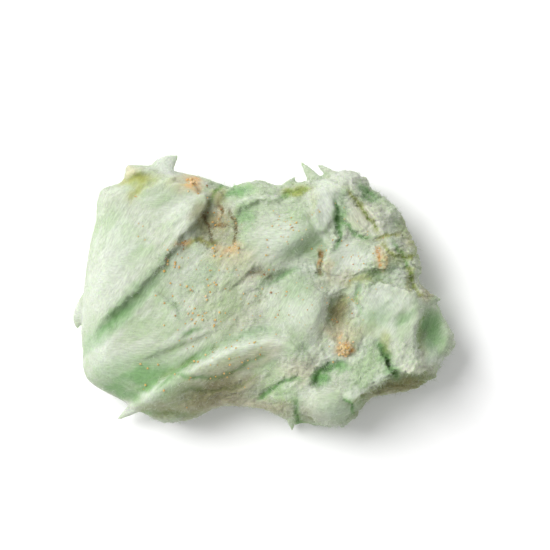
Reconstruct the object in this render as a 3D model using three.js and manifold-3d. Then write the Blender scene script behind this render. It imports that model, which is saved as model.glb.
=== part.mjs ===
// Cotton candy: one clump of spun sugar, torn from a larger batch and lying on its flat underside.
//
// The clump is a closed surface worked out in rings round its middle: a crown, a shoulder that rounds over to the
// widest contour, and a wall that tucks in under it to the base. Folds, creases, mounds and crumples are relief in
// that surface. Thin wisps at its edge and the larger crumbs of burnt sugar are joined to it, so the whole is one
// solid. Sizes are in millimetres, X runs along the clump, Y across it and Z up.

import * as THREE from 'three';
import { mergeVertices } from 'three/addons/utils/BufferGeometryUtils.js';
import Module from 'manifold-3d';

const middle = [-0.3, -1]; // where the middle of the finished clump's box lies in the tables below
const crownHeight = 34;
const domeRise = 3;
const swellRise = 2; // broad swells of the crown
const swellSize = 13;
const plyHeight = 7.5; // the torn sides show plies about this thick
const plyDepth = 2.6;
const wallRoughness = 1.1; // the sides are at least this crumpled, also beside the calm places
const surfaceCells = 68; // squares across the surface, each about 3 mm wide
const ownWeight = 3; // how much a point counts beside each neighbour when the surface is smoothed
const narrowestStep = 3; // no fold's step is narrower than a square, nor is the reach of a roll
const narrowestCrease = 2; // nor is half the width of a crease less; what is widened gets as much flatter
const calmShare = 0.85; // how much of the crumpling the calm places lose
const topShare = 0.7; // how much of a ring's way out is crown and shoulder, the rest being wall
const cutDepth = 1.5; // how far the wall runs on below the base, before the base is cut flat
const baseReliefFade = 12; // relief fades out over this height above the base
const footReach = 2.2; // the surface dips by a share of a fold's rise over this reach in front of it
const footShare = 0.25;
const coarseCrumple = { size: 3.4, height: 0.8 };
const fineCrumple = { size: 1.7, height: 0.5 };
const wispSides = 10;
const wispSteps = 9;
const pathStepsEach = 4; // steps between two points of a path
const pathBlend = 1.2; // how widely the values along a path are averaged

// The widest contour from above, counterclockwise from the east end: [x, y].
const contour = [
  [75.3, -21.5], [75, -15.5], [71, -8.6], [67, -1.5], [64, 2.5], [61.5, 6], [62.8, 9.5], [58.5, 21.5],
  [52, 34], [43, 41], [37, 47], [28, 47.5], [18, 44.5], [8.5, 42.5], [-3.5, 44], [-14, 42], [-23, 45],
  [-33.5, 47.5], [-44.5, 50], [-52, 50.3], [-54.5, 47.5], [-56, 44], [-62.8, 41.2], [-65, 38.6],
  [-66.5, 28], [-69.7, 12], [-71.7, -8.5], [-71.7, -22], [-69.7, -34.5], [-58.5, -41.8], [-48.5, -47.3],
  [-39.8, -52], [-28.7, -50.3], [-19, -46.3], [-7, -45.4], [2, -47.8], [10.5, -51.8], [19, -52.2],
  [28.5, -53.8], [35.5, -50.3], [42, -42.8], [51.5, -41], [61, -38.4], [68, -33.4], [71.5, -27],
];

// The section by direction: [degrees from +X, width of the shoulder, height of the widest contour, tuck below it].
const sections = [
  [0, 16, 17, 13], [45, 12, 19, 12], [90, 8, 20, 14], [135, 10, 21, 12], [180, 11, 18, 12],
  [215, 18, 14, 10], [250, 23, 13, 11], [280, 21, 12, 10], [315, 13, 12, 9], [340, 14, 14, 12],
];

// Folds: the surface steps up on the left of the path, which is a list of [x, y, rise]. The step is cliff wide, its
// edge leans out by lip, jag is the raggedness of the edge, and the rise dies out over back behind it.
const folds = [
  { name: 'left flap', cliff: 1.6, back: 13, lip: 1.2, jag: 1.5,
    path: [[-69.5, -22, 0.8], [-60.5, -10, 1.3], [-49, 1, 1.3], [-38.8, 11, 1.6], [-32.8, 19.5, 2.8],
      [-26, 27.5, 3.6], [-22, 33, 3.6], [-22.8, 38, 2.4], [-28.5, 42, 1.6], [-36, 43.6, 1.2],
      [-43, 42.5, 1.2], [-48.2, 39, 1.2], [-50.5, 34.5, 0.6]] },
  { name: 'north rim', cliff: 1.8, back: 8, lip: 0.3, jag: 0.5,
    path: [[-10, 27, 1], [-9, 31, 2.2], [-5, 33.5, 2.2], [2.5, 35, 1.6], [11, 34.5, 0.5]] },
  { name: 'north lobe', cliff: 6, back: 14, lip: 0.4, jag: 0.4,
    path: [[5.5, 10.5, 0.8], [11, 13.5, 2.4], [16, 16.5, 3.6], [21, 19.5, 3.2], [24, 24.5, 1.2]] },
  { name: 'tongue', cliff: 1, back: 8, lip: 0.5, jag: 0.9,
    path: [[16.5, 44, 0.6], [17, 37, 1.2], [19, 29, 1.7], [22.2, 23.4, 2.2], [25.8, 27, 1.2],
      [27.5, 33, 0.6], [28, 40, 0.4]] },
  { name: 'under tongue', cliff: 1, back: 5, lip: 0.4, jag: 0.3,
    path: [[22, 22, 0.5], [25, 17.5, 1.3], [28.5, 16.5, 1.3], [30.5, 20, 0.6]] },
  { name: 'east ply', cliff: 1, back: 10, lip: 0.5, jag: 0.4,
    path: [[26, 19, 0.8], [23.5, 15.5, 1.8], [22.5, 11, 2], [23, 6, 0.8]] },
  { name: 'first plate', cliff: 0.9, back: 6, lip: 0.4, jag: 0.5,
    path: [[34.5, 38, 0.8], [38.5, 33.5, 1.6], [42, 28.5, 1.8], [44.5, 23, 1]] },
  { name: 'second plate', cliff: 0.9, back: 5, lip: 0.4, jag: 0.5,
    path: [[32, 26.5, 0.8], [36, 22.5, 1.4], [41, 21, 1.4], [45.5, 21.5, 0.6]] },
  { name: 'third plate', cliff: 0.9, back: 5, lip: 0.4, jag: 0.6,
    path: [[47, 18.5, 0.8], [50, 14.5, 1.5], [55, 12, 1.6], [58.5, 13.5, 0.8]] },
  { name: 'fourth plate', cliff: 0.9, back: 6, lip: 0.4, jag: 0.5,
    path: [[54, 12.5, 1], [56.5, 7.5, 2], [59.5, 2.5, 2], [62.5, -0.5, 1]] },
  { name: 'fifth plate', cliff: 2.5, back: 8, lip: 0.3, jag: 0.6,
    path: [[29, 2.5, 0.6], [35, 5, 1.4], [41, 7, 1.6], [48.5, 8, 1.6], [53, 11, 0.6]] },
  { name: 'right lobe', cliff: 1.1, back: 14, lip: 0.7, jag: 0.6,
    path: [[67, -1.5, 2], [60, 0.3, 3], [51.5, 2.5, 3.4], [45, 4.5, 3.4], [39, 5, 3.2], [38.6, 1.5, 2.6],
      [36.4, -2.5, 1.8], [38.4, -7, 1.2], [37, -12, 0.5]] },
  { name: 'right brink', cliff: 3.2, back: 16, lip: 0.4, jag: 0.6,
    path: [[64, -28.5, 2], [61, -22, 4.8], [60, -16.5, 5.2], [62.5, -9, 4.4], [66.5, -3, 1.5]] },
  { name: 'tooth', cliff: 1.4, back: 9, lip: 1, jag: 1,
    path: [[48, -23, 2], [49.5, -28.5, 4], [55.5, -30.5, 5.5], [61, -31, 6], [69, -28.5, 3]] },
  { name: 'torn flap', cliff: 1, back: 9, lip: 1.6, jag: 1.1,
    path: [[30, -37, 1.5], [33.5, -41.5, 4.5], [39, -38.5, 5.5], [44.5, -34.5, 5.5], [48.3, -31, 4.5],
      [46.5, -26, 2.6], [44, -20.5, 0.8]] },
  { name: 'lower left lobe', cliff: 6, back: 12, lip: 0, jag: 0.4,
    path: [[-53, -27.5, 0.3], [-41, -23.5, 1], [-28.5, -18.5, 1.2], [-19.5, -14.5, 1], [-9, -11.5, 0.3]] },
  { name: 'green wrinkle', cliff: 0.9, back: 4, lip: 0.3, jag: 0.2,
    path: [[-31, -16.5, 0.5], [-27.5, -14.5, 0.9], [-22.5, -12.5, 0.5]] },
  { name: 'veil', cliff: 1, back: 8, lip: 0.5, jag: 0.3,
    path: [[-32, -8.5, 0.3], [-33.2, -6.3, 1], [-36, -3.4, 1.2], [-40, -0.8, 0.8], [-44, 1.5, 0.3]] },
  { name: 'middle scarp', cliff: 2.4, back: 8, lip: 0.2, jag: 1.2,
    path: [[-14, -1, 0.8], [-10, 4.5, 1.8], [-6, 7.5, 2], [-0.5, 9, 1.4], [3.5, 8, 0.6]] },
  { name: 'small scarp', cliff: 2, back: 6, lip: 0.2, jag: 1,
    path: [[-0.5, 3.5, 0.6], [3.5, 6, 1.6], [9, 8, 0.6]] },
  { name: 'centre lobe', cliff: 5, back: 14, lip: 0, jag: 0.5,
    path: [[20.5, -20.5, 1], [23.5, -13, 3], [25.5, -5, 3.4], [27, 1, 1.2]] },
];

// Rolls: rounded ridges along a path of [x, y, rise], with their reach to the left and to the right of it.
const rolls = [
  { name: 'long roll', reach: [3.4, 9.5],
    path: [[-60, -51, 7], [-54, -47.5, 7], [-46.5, -42.2, 6.6], [-37, -34.5, 6], [-27, -29.5, 5.8],
      [-15.5, -23.5, 6], [-5.5, -20, 6], [3.5, -18.5, 5.4], [11, -21, 4.4], [17, -26.5, 3], [20, -33, 1]] },
  { name: 'flap edge', reach: [4, 2.5],
    path: [[-27, 30.5, 0.6], [-33.5, 21.5, 0.8], [-40.5, 13, 0.6], [-50.5, 2.5, 0.6], [-61.5, -8.5, 0.4]] },
  { name: 'ear roll', reach: [2.6, 2.6], path: [[-54, 46, 1.5], [-48.5, 48, 2.2], [-42, 48.5, 1.5]] },
  { name: 'north roll', reach: [2, 2.4],
    path: [[-13, 41.2, 1], [-6, 42.6, 1.8], [3, 41.6, 1.6], [12, 42.4, 1.8], [20, 44, 1]] },
  { name: 'lobe rib', reach: [3.4, 1.8],
    path: [[-51, -26.5, 0.6], [-42, -22.5, 1.1], [-33, -18.8, 1.2], [-24, -15.5, 1], [-15, -11.5, 0.5]] },
  { name: 'lobe edge', reach: [1.2, 2.4],
    path: [[38.5, 1, 0.6], [40, 4, 1], [46, 3.3, 1], [52, 1.3, 1], [59, -1, 0.8]] },
  { name: 'torn edge', reach: [1, 2],
    path: [[35, -39.5, 0.5], [40, -37, 1], [45, -33, 1.2], [47.5, -28, 0.8]] },
];

// Creases: valleys along a path of [x, y, depth], each a few millimetres wide.
const creases = [
  { name: 'flap groove', width: 3.4,
    path: [[-67.5, -21, 0.8], [-60.5, -13.5, 1.5], [-53, -6, 1.4], [-44, 1.5, 0.7], [-37, 9, 0.4]] },
  { name: 'ear crease', width: 1.6, path: [[-54, 43.2, 0.8], [-48, 44.6, 1.4], [-42.5, 45.8, 0.6]] },
  { name: 'ear fold', width: 1.3,
    path: [[-52, 34.5, 0.4], [-50, 38, 0.9], [-46, 41, 0.9], [-42, 43, 0.3]] },
  { name: 'head crease', width: 1.4, path: [[-15.5, 43, 1.2], [-18, 39.5, 2], [-20, 35.5, 1.2]] },
  { name: 'north west rim', width: 2.4,
    path: [[-15, 37, 0.8], [-12, 38.7, 1.8], [-7.5, 40, 1.4], [-4.5, 40, 0.4]] },
  { name: 'north rim', width: 2, path: [[6.5, 36.5, 0.8], [11, 39, 2], [17.5, 40.5, 1.6]] },
  { name: 'tongue', width: 1.5,
    path: [[27.2, 37.5, 1], [28.4, 33, 2.2], [28.6, 29, 3.2], [29.2, 24, 3.2], [29.3, 20, 2],
      [26.5, 15, 0.6]] },
  { name: 'veil', width: 1.2,
    path: [[-36.5, -2.8, 0.2], [-34.2, -4.8, 0.5], [-32.5, -7.4, 0.5], [-31.8, -9, 0.2]] },
  { name: 'east branch', width: 1.1,
    path: [[29.5, 29, 2], [32.5, 26, 2], [35.5, 23, 1.6], [38.5, 21.5, 1.6], [41, 22.3, 0.6]] },
  { name: 'plate crack', width: 1.1,
    path: [[31.5, 41, 1], [34.5, 37.2, 2], [37.3, 34, 2.2], [39.5, 31, 3], [42, 27, 3], [44.8, 22.5, 1.4]] },
  { name: 'shoulder crack', width: 1.2, path: [[38.5, 41, 0.6], [39.5, 37.5, 1.6], [43.5, 35.5, 1]] },
  { name: 'lower plates', width: 1.1, path: [[43, 20.5, 1], [49, 22.3, 1.6], [53, 23, 0.8]] },
  { name: 'star crack', width: 1.1,
    path: [[45.5, 20.5, 0.8], [49, 15.8, 2], [54, 13.8, 2.6], [60, 15.5, 1.4]] },
  { name: 'cross crack', width: 1, path: [[50, 19.5, 0.6], [53.5, 15, 2.2], [56.5, 9, 2.2]] },
  { name: 'ply lump', width: 0.9, path: [[44.5, 18, 0.8], [44.2, 14, 1.8], [45, 10, 1]] },
  { name: 'east edge', width: 1.3, path: [[55.5, 11, 1.6], [57.3, 6, 3], [59.5, 1.5, 2.2], [61, -1, 0.8]] },
  { name: 'above right lobe', width: 1.4,
    path: [[33, 5, 0.4], [38, 7.4, 0.8], [44, 8.4, 1], [49, 9, 0.8], [52, 11, 0.4]] },
  { name: 'slot', width: 1.1, path: [[22.5, 16, 1.4], [21.8, 11.5, 3], [22.2, 7, 1.4]] },
  { name: 'east shoulder', width: 2, path: [[37, 42.5, 0.6], [40.5, 39.5, 1.6], [45.5, 36, 0.8]] },
  { name: 'tooth cleft', width: 2.4,
    path: [[44, -18, 0.8], [46.2, -22.5, 2.2], [49, -28.5, 3], [52, -34, 2.4]] },
  { name: 'green pocket', width: 2.4,
    path: [[20.5, -34.5, 4], [21.8, -31, 4], [26, -28.3, 2.6], [32, -27, 1]] },
  { name: 'foot fold', width: 1.4,
    path: [[-3, -43, 1], [1, -39, 2.4], [5, -36, 2.4], [10.5, -33.3, 1.6], [17, -32.5, 0.6]] },
  { name: 'foot notch', width: 2.2, path: [[12.5, -40, 0.8], [13, -46.5, 1.8], [14.5, -52, 1.6]] },
  { name: 'torn flap', width: 1.5, path: [[31.5, -40.5, 1.4], [34, -43.5, 2.8], [35.5, -47.5, 1]] },
  { name: 'roll groove', width: 1.5,
    path: [[-37, -32, 0.5], [-30, -31.3, 1.3], [-21, -32.5, 1.3], [-12, -30.5, 1.2], [-3, -25, 0.9],
      [2, -22.3, 0.4]] },
  { name: 'roll streak', width: 1.3,
    path: [[-34, -37.5, 0.4], [-26, -37, 1.2], [-17, -37.8, 1.2], [-8, -35, 1], [-1, -29.5, 0.4]] },
  { name: 'roll foot', width: 2.4,
    path: [[-42, -37, 0.8], [-35, -31.5, 1.2], [-27, -26, 1], [-18, -20.5, 0.5]] },
  { name: 'wrinkle', width: 0.7, path: [[-30.5, -16.6, 0.4], [-27.5, -15, 0.9], [-23, -12.8, 0.3]] },
  { name: 'middle', width: 2.4, path: [[-7, 6.5, 0.4], [-3, 8, 0.9], [0.5, 7.6, 0.8], [3, 6.5, 0.3]] },
  { name: 'bowl crack', width: 1.4,
    path: [[-22.8, 31, 1.2], [-21.5, 27, 2.4], [-20.6, 23, 1.8], [-17.5, 17.5, 0.8]] },
  { name: 'bowl side', width: 1.2,
    path: [[-13.5, 33.5, 0.8], [-11.2, 28, 1.8], [-10.6, 23, 1.8], [-11.4, 18, 0.8]] },
  { name: 'bowl cross', width: 1, path: [[-20.5, 25.5, 0.8], [-16.5, 26.6, 1.6], [-12, 25.2, 0.8]] },
  { name: 'bowl foot', width: 1.1,
    path: [[-30, 17.5, 0.8], [-25.5, 20.6, 1.6], [-21, 19.5, 1.2], [-17, 20.5, 0.6]] },
  { name: 'bowl top', width: 1, path: [[-17.5, 36, 0.8], [-16, 31.5, 1.6], [-17, 27.5, 0.8]] },
  { name: 'lobe foot', width: 1.6, path: [[37.5, 4.8, 0.4], [36.2, 0, 1], [37, -6, 0.8], [40, -12, 0.3]] },
  { name: 'roll step', width: 1.8,
    path: [[-49, -47.5, 0.4], [-40, -46.2, 0.9], [-31, -47.6, 0.7], [-24, -47, 0.3]] },
  { name: 'centre fold', width: 1.2, path: [[1, 2.5, 0.5], [5, 5.2, 1.2], [10, 8, 1.2], [15, 10.5, 0.5]] },
];

// Mounds and hollows: centre, half widths, turn in degrees, height.
const mounds = [
  { name: 'flap belly', at: [-49, 16], half: [15, 36], turn: -38, height: 3 },
  { name: 'lower left', at: [-58, -25], half: [17, 14], turn: -10, height: 2.4 },
  { name: 'bowl', at: [-18, 26], half: [8, 10], turn: 15, height: -2.7 },
  { name: 'amber lump', at: [31.6, -21.2], half: [2.4, 2], turn: 0, height: 2.6 },
  { name: 'torn body', at: [37, -31], half: [9, 7], turn: 35, height: 2.4 },
  { name: 'dark corner', at: [-23.5, 29], half: [3, 6], turn: -25, height: -0.9 },
  { name: 'north swell', at: [0.5, 22], half: [15, 10], turn: 10, height: 3.6 },
  { name: 'north drop', at: [19, 14], half: [5, 8], turn: 10, height: -1 },
  { name: 'tongue', at: [22.5, 34], half: [4.5, 11], turn: -4, height: 0.7 },
  { name: 'north east knob', at: [34.5, 43], half: [8, 6], turn: 0, height: 2 },
  { name: 'green pit', at: [30.3, 28.5], half: [1.8, 2.4], turn: 0, height: -1.4 },
  { name: 'shoulder hollow', at: [40.5, 37], half: [3.5, 4.5], turn: -30, height: -1.2 },
  { name: 'edge lump', at: [51, 31], half: [2.8, 3], turn: 0, height: 2 },
  { name: 'east hollow', at: [51.5, 26], half: [4, 3.5], turn: 30, height: -1.8 },
  { name: 'ply lump', at: [46.3, 13.5], half: [2.4, 4.6], turn: 0, height: 1.8 },
  { name: 'knob', at: [40.5, 11], half: [2.5, 2], turn: 0, height: 1.6 },
  { name: 'star hollow', at: [54.5, 13.5], half: [2.2, 2.2], turn: 0, height: -1.6 },
  { name: 'edge ridge', at: [58.5, 14], half: [2, 7], turn: 10, height: 1.4 },
  { name: 'centre swell', at: [13.5, -7.5], half: [10, 12], turn: 0, height: 3.4 },
  { name: 'pit', at: [29.5, -7], half: [4.6, 7.2], turn: -15, height: -6.2 },
  { name: 'crumb mound', at: [32, -18], half: [6, 5], turn: 20, height: 2.2 },
  { name: 'right swell', at: [44, -3.5], half: [9, 8], turn: 0, height: 1.6 },
  { name: 'right dimple', at: [54, -9.5], half: [3.6, 2.4], turn: 30, height: -1.2 },
  { name: 'right hollow', at: [65.5, -14.5], half: [5.5, 8], turn: 0, height: -6.5 },
  { name: 'bottom lobe', at: [26, -45], half: [12, 8], turn: 0, height: 5.5 },
  { name: 'foot lump', at: [9, -40.5], half: [6.5, 5], turn: 20, height: 1.6 },
  { name: 'shelf', at: [53, -36.5], half: [14, 4.5], turn: 8, height: -6 },
];

// Calm places, where the sugar lies smooth: centre, half widths, turn in degrees.
const calm = [
  { name: 'flap', at: [-55, 12], half: [22, 43], turn: -30 },
  { name: 'head', at: [-36, 33], half: [15, 11], turn: 10 },
  { name: 'lower left', at: [-48, -27], half: [29, 18], turn: 20 },
  { name: 'north lobe', at: [9, 20], half: [15, 9], turn: 12 },
  { name: 'tongue', at: [24, 33], half: [4.5, 11], turn: -4 },
  { name: 'centre lobe', at: [13, -7], half: [12, 12], turn: 0 },
  { name: 'right lobe', at: [49, -8], half: [12, 11], turn: 0 },
  { name: 'roll', at: [-10, -26], half: [26, 6], turn: 22 },
  { name: 'bottom lobe', at: [26, -43], half: [10, 7], turn: 0 },
  { name: 'right hollow', at: [67, -15], half: [7, 10], turn: 0 },
  { name: 'plate', at: [37, 29], half: [4, 4], turn: 0 },
  { name: 'east ply', at: [32, 14], half: [7, 5], turn: 20 },
];

// Wisps: flat tapered shreds along a path of [x, y, z], with half a width and half a thickness.
const wisps = [
  { name: 'ear', width: 5, thickness: 3,
    path: [[-56, 36, 24], [-51, 43, 25], [-45, 47.5, 25], [-37, 48.5, 25]] },
  { name: 'ear point', width: 10.5, thickness: 2.6,
    path: [[-45, 33, 31], [-41.5, 42, 30], [-38.5, 49.5, 27], [-33.5, 54, 24]] },
  { name: 'rim nub', width: 4.6, thickness: 2.4, path: [[6, 34, 29], [9, 40.5, 26], [12.5, 46, 22]] },
  { name: 'first spike', width: 4.4, thickness: 2, path: [[25, 36, 30], [19.5, 45, 24], [14.5, 52, 20]] },
  { name: 'second spike', width: 3.8, thickness: 1.8, path: [[34, 40, 30], [27, 46, 26], [20.5, 51, 23]] },
  { name: 'left wisp', width: 7, thickness: 2.4,
    path: [[-60, 2, 23], [-68, -4, 20], [-73, -9.5, 17], [-74.5, -14.5, 14]] },
  { name: 'lower left wisp', width: 5.5, thickness: 2.4,
    path: [[-40, -38, 22], [-49, -44, 15], [-59.5, -51.5, 8]] },
  { name: 'bottom point', width: 5, thickness: 2.6, path: [[10, -42, 13], [11, -49.5, 8], [11.5, -56, 5]] },
  { name: 'torn lip', width: 4.5, thickness: 1.3,
    path: [[33, -35, 31], [40, -34.5, 32.5], [47, -31.5, 32], [52, -30, 30]] },
  { name: 'tooth lip', width: 4.5, thickness: 1.8,
    path: [[49, -24, 29], [55, -29, 28], [62, -30, 25], [69, -28, 20]] },
  { name: 'east nub', width: 3, thickness: 2, path: [[60, -1, 25], [66, -2, 22], [70.5, -3, 19]] },
  { name: 'lower east nub', width: 3, thickness: 2, path: [[61, -26, 20], [67, -28.5, 17], [71, -30, 15]] },
];

// Burnt sugar: lumps of crumbs at [x, y], spread over a half width, each crumb of a half size.
const crumbLumps = [
  { name: 'amber lump', at: [31.5, -21], spread: 3.2, count: 9, size: 1.5, seed: 3 },
  { name: 'amber patch', at: [-27.5, 43.5], spread: 3, count: 8, size: 1.4, seed: 8 },
  { name: 'bowl crumbs', at: [-14.5, 16], spread: 4, count: 6, size: 1.1, seed: 5 },
];

const clamp01 = (value) => Math.min(Math.max(value, 0), 1);
const ease = (value) => clamp01(value) ** 2 * (3 - 2 * clamp01(value));
const radians = THREE.MathUtils.degToRad;

// A repeatable stream of numbers between 0 and 1.
function drawFrom(seed) {
  let state = seed * 7919 + 17;
  return () => {
    state = (state * 16807) % 2147483647;
    return state / 2147483647;
  };
}

// Crumpled noise between about -1 and 1: sines whose arguments are bent by one another.
function crumple(x, y, z, scale) {
  const a = x / scale;
  const b = y / scale;
  const c = z / scale;
  return (Math.sin(a + 1.9 * Math.sin(0.83 * b + 0.7) + 0.6 * c)
    + Math.sin(1.31 * b + 1.7 * Math.sin(0.91 * c + 1.1 * a + 2) - 0.4 * a)
    + Math.sin(1.17 * c + 1.5 * Math.sin(1.07 * a - 0.8 * b + 4))) / 3;
}

// The square of the distance from an ellipse's centre, which is 1 on the ellipse.
function withinEllipse(ellipse, x, y) {
  const turn = radians(ellipse.turn);
  const acrossX = x - ellipse.at[0];
  const acrossY = y - ellipse.at[1];
  const u = (acrossX * Math.cos(turn) + acrossY * Math.sin(turn)) / ellipse.half[0];
  const v = (acrossY * Math.cos(turn) - acrossX * Math.sin(turn)) / ellipse.half[1];
  return u * u + v * v;
}

// How crumpled the surface is at a place: coarser to the east and in the bowl, the calm places almost smooth.
function roughnessAt(x, y) {
  const east = ease((x + 10) / 35);
  const bowl = Math.exp(-(((x + 18) / 12) ** 2) - ((y - 24) / 10) ** 2);
  const rest = Math.min(1, ...calm.map((place) => 1 - calmShare * Math.exp(-(withinEllipse(place, x, y) ** 2))));
  return (0.75 + 0.2 * east + 0.4 * bowl) * rest;
}

const samplePath = (path) => new THREE.CatmullRomCurve3(path.map((point) => new THREE.Vector3(...point)))
  .getPoints(pathStepsEach * (path.length - 1));

// The nearest point of a sampled path, whose z holds the path's third value: the distance to it, positive on the
// left, that value, how far along it lies from 0 to 1, and the direction to the left there. The last three are
// averages over the path, with weights that fade with distance, so they don't jump between two stretches of it.
function nearestOn(samples, x, y) {
  const near = { distance: Infinity, value: 0, along: 0, left: [0, 0] };
  let total = 0;
  for (let k = 0; k < samples.length - 1; k += 1) {
    const from = samples[k];
    const stepX = samples[k + 1].x - from.x;
    const stepY = samples[k + 1].y - from.y;
    const length = Math.hypot(stepX, stepY);
    const share = clamp01(((x - from.x) * stepX + (y - from.y) * stepY) / length ** 2);
    const distance = Math.hypot(x - from.x - share * stepX, y - from.y - share * stepY);
    const onLeft = stepX * (y - from.y) - stepY * (x - from.x) >= 0;
    if (distance < Math.abs(near.distance)) near.distance = onLeft ? distance : -distance;
    const weight = length * Math.exp(-distance / pathBlend) + Number.MIN_VALUE;
    near.value += weight * (from.z + share * (samples[k + 1].z - from.z));
    near.along += weight * (k + share) / (samples.length - 1);
    near.left[0] -= weight * stepY / length;
    near.left[1] += weight * stepX / length;
    total += weight;
  }
  near.value /= total;
  near.along /= total;
  near.left = near.left.map((across) => across / total);
  return near;
}

// How much of a fold, roll or crease is there along its path: nought at its ends, all of it over the middle.
const endFade = (along) => ease(along / 0.15) * ease((1 - along) / 0.15);

const foldPaths = folds.map((fold) => samplePath(fold.path));
const rollPaths = rolls.map((roll) => samplePath(roll.path));
const creasePaths = creases.map((crease) => samplePath(crease.path));

// The relief at a place on the clump: [shift in x, shift in y, rise].
function reliefAt(x, y) {
  const relief = [0, 0, 0];
  const ragged = crumple(x, y, 0, 1.6);
  folds.forEach((fold, k) => {
    const near = nearestOn(foldPaths[k], x, y);
    const distance = near.distance + fold.jag * ragged;
    const fade = endFade(near.along);
    const cliff = Math.max(fold.cliff, narrowestStep);
    const step = ease(distance / cliff);
    const behind = 1 - ease((distance - cliff) / fold.back);
    const foot = distance < 0 ? Math.exp(-((distance / footReach) ** 2)) : 0;
    relief[2] += near.value * fade * (step * behind - footShare * foot);
    const lean = fold.lip * fade * step * (1 - ease((distance - cliff) / (2.5 * cliff)));
    relief[0] -= near.left[0] * lean;
    relief[1] -= near.left[1] * lean;
  });
  rolls.forEach((roll, k) => {
    const near = nearestOn(rollPaths[k], x, y);
    const reach = roll.reach.map((side) => Math.max(side, narrowestStep));
    const away = near.distance / reach[near.distance > 0 ? 0 : 1];
    const rise = near.value * (roll.reach[0] + roll.reach[1]) / (reach[0] + reach[1]);
    relief[2] += rise * endFade(near.along) * clamp01(1 - away ** 2) ** 1.5;
  });
  creases.forEach((crease, k) => {
    const near = nearestOn(creasePaths[k], x, y);
    const width = Math.max(crease.width, narrowestCrease);
    const depth = near.value * crease.width / width * endFade(near.along);
    relief[2] -= depth * clamp01(1 - Math.abs(near.distance) / width) ** 1.2;
  });
  for (const mound of mounds) relief[2] += mound.height * clamp01(1 - withinEllipse(mound, x, y) / 1.6) ** 1.3;
  return relief;
}

// The contour's reach from the middle in a direction, by turning round its sampled curve.
const contourPoints = new THREE.CatmullRomCurve3(contour.map(([x, y]) => new THREE.Vector3(x, y, 0)), true)
  .getPoints(720).map((point) => ({ angle: Math.atan2(point.y, point.x), reach: Math.hypot(point.x, point.y) }))
  .sort((first, second) => first.angle - second.angle);

function contourReach(angle) {
  const after = contourPoints.findIndex((point) => point.angle > angle);
  if (after <= 0) return contourPoints[after < 0 ? contourPoints.length - 1 : 0].reach;
  const [low, high] = [contourPoints[after - 1], contourPoints[after]];
  return low.reach + (high.reach - low.reach) * (angle - low.angle) / (high.angle - low.angle);
}

// The section in a direction: [shoulder, height of the widest contour, tuck].
function sectionAt(angle) {
  const degrees = THREE.MathUtils.euclideanModulo(THREE.MathUtils.radToDeg(angle), 360);
  const ringed = [...sections, [360, ...sections[0].slice(1)]];
  const after = ringed.findIndex((row) => row[0] > degrees);
  const [low, high] = [ringed[after - 1], ringed[after]];
  const share = (degrees - low[0]) / (high[0] - low[0]);
  return [1, 2, 3].map((column) => low[column] + share * (high[column] - low[column]));
}

// A point of the surface, from its direction and its ring: 0 in the middle of the crown, 1 at the foot of the wall.
// A quarter circle carries the crown over the shoulder, and a quarter ellipse tucks the wall in below the contour.
function skinPoint(angle, ring) {
  const reach = contourReach(angle);
  const [shoulder, rim, tuck] = sectionAt(angle);
  const out = clamp01(ring / topShare);
  const bend = Math.PI / 2 * clamp01((ring - topShare) / (1 - topShare));
  const inward = (1 - out) * reach;
  const roundOver = Math.sqrt(1 - (1 - clamp01(inward / shoulder)) ** 2);
  const radius = reach * out - tuck * (1 - Math.cos(bend));
  const cos = Math.cos(angle);
  const sin = Math.sin(angle);
  const swell = domeRise * (1 - out ** 2) + swellRise * roundOver * crumple(radius * cos, radius * sin, 0, swellSize);
  const upper = rim + (crownHeight - rim) * roundOver + swell;
  const height = upper - (rim + cutDepth) * Math.sin(bend);
  const [shiftX, shiftY, rise] = reliefAt(radius * cos, radius * sin);
  const hold = Math.cos(bend) ** 2 * ease((height - 2) / baseReliefFade);
  let x = radius * cos + shiftX * hold;
  let y = radius * sin + shiftY * hold;
  let z = height + rise * hold;
  const rough = Math.max(roughnessAt(x, y), wallRoughness * ease(bend / 0.8));
  const bump = rough * (coarseCrumple.height * crumple(x, y, z, coarseCrumple.size)
    + fineCrumple.height * crumple(y, z, x, fineCrumple.size));
  const wall = ease(1 - inward / shoulder);
  const wavy = 1.1 * Math.sin(angle * 3 + 1) + 0.8 * Math.sin(angle * 7) + 0.4 * Math.sin(angle * 13 + 2);
  const plies = plyDepth * (Math.abs(Math.sin(Math.PI * z / plyHeight + wavy)) - 0.65) * ease(bend / 0.5);
  const push = (1.2 * wall * bump + plies) * Math.sqrt(Math.max(Math.cos(bend), 0));
  x += cos * push;
  y += sin * push;
  z += bump * (1 - wall);
  return new THREE.Vector3(x, y, z);
}

// The point of the crown over a place, with the ring found from the contour's reach.
function crownPoint(x, y) {
  const angle = Math.atan2(y, x);
  return skinPoint(angle, topShare * Math.hypot(x, y) / contourReach(angle));
}

// A geometry as a solid, with the vertices that it repeats merged.
function toSolid(wasm, geometry) {
  geometry.deleteAttribute('normal');
  geometry.deleteAttribute('uv');
  const merged = mergeVertices(geometry, 1e-4);
  return new wasm.Manifold(new wasm.Mesh({
    numProp: 3,
    vertProperties: new Float32Array(merged.attributes.position.array),
    triVerts: new Uint32Array(merged.index.array),
  }));
}

// A place on a square from -1 to 1 both ways, bent round into rings: its direction and its ring.
function bentRound(u, v) {
  const sideways = Math.abs(u) >= Math.abs(v);
  const turn = Math.PI / 4 * (sideways ? v / (u || 1) : u / v);
  const [cos, sin] = sideways ? [Math.cos(turn), Math.sin(turn)] : [Math.sin(turn), Math.cos(turn)];
  const away = sideways ? u : v;
  return { angle: Math.atan2(away * sin, away * cos), ring: Math.max(Math.abs(u), Math.abs(v)) };
}

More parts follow.
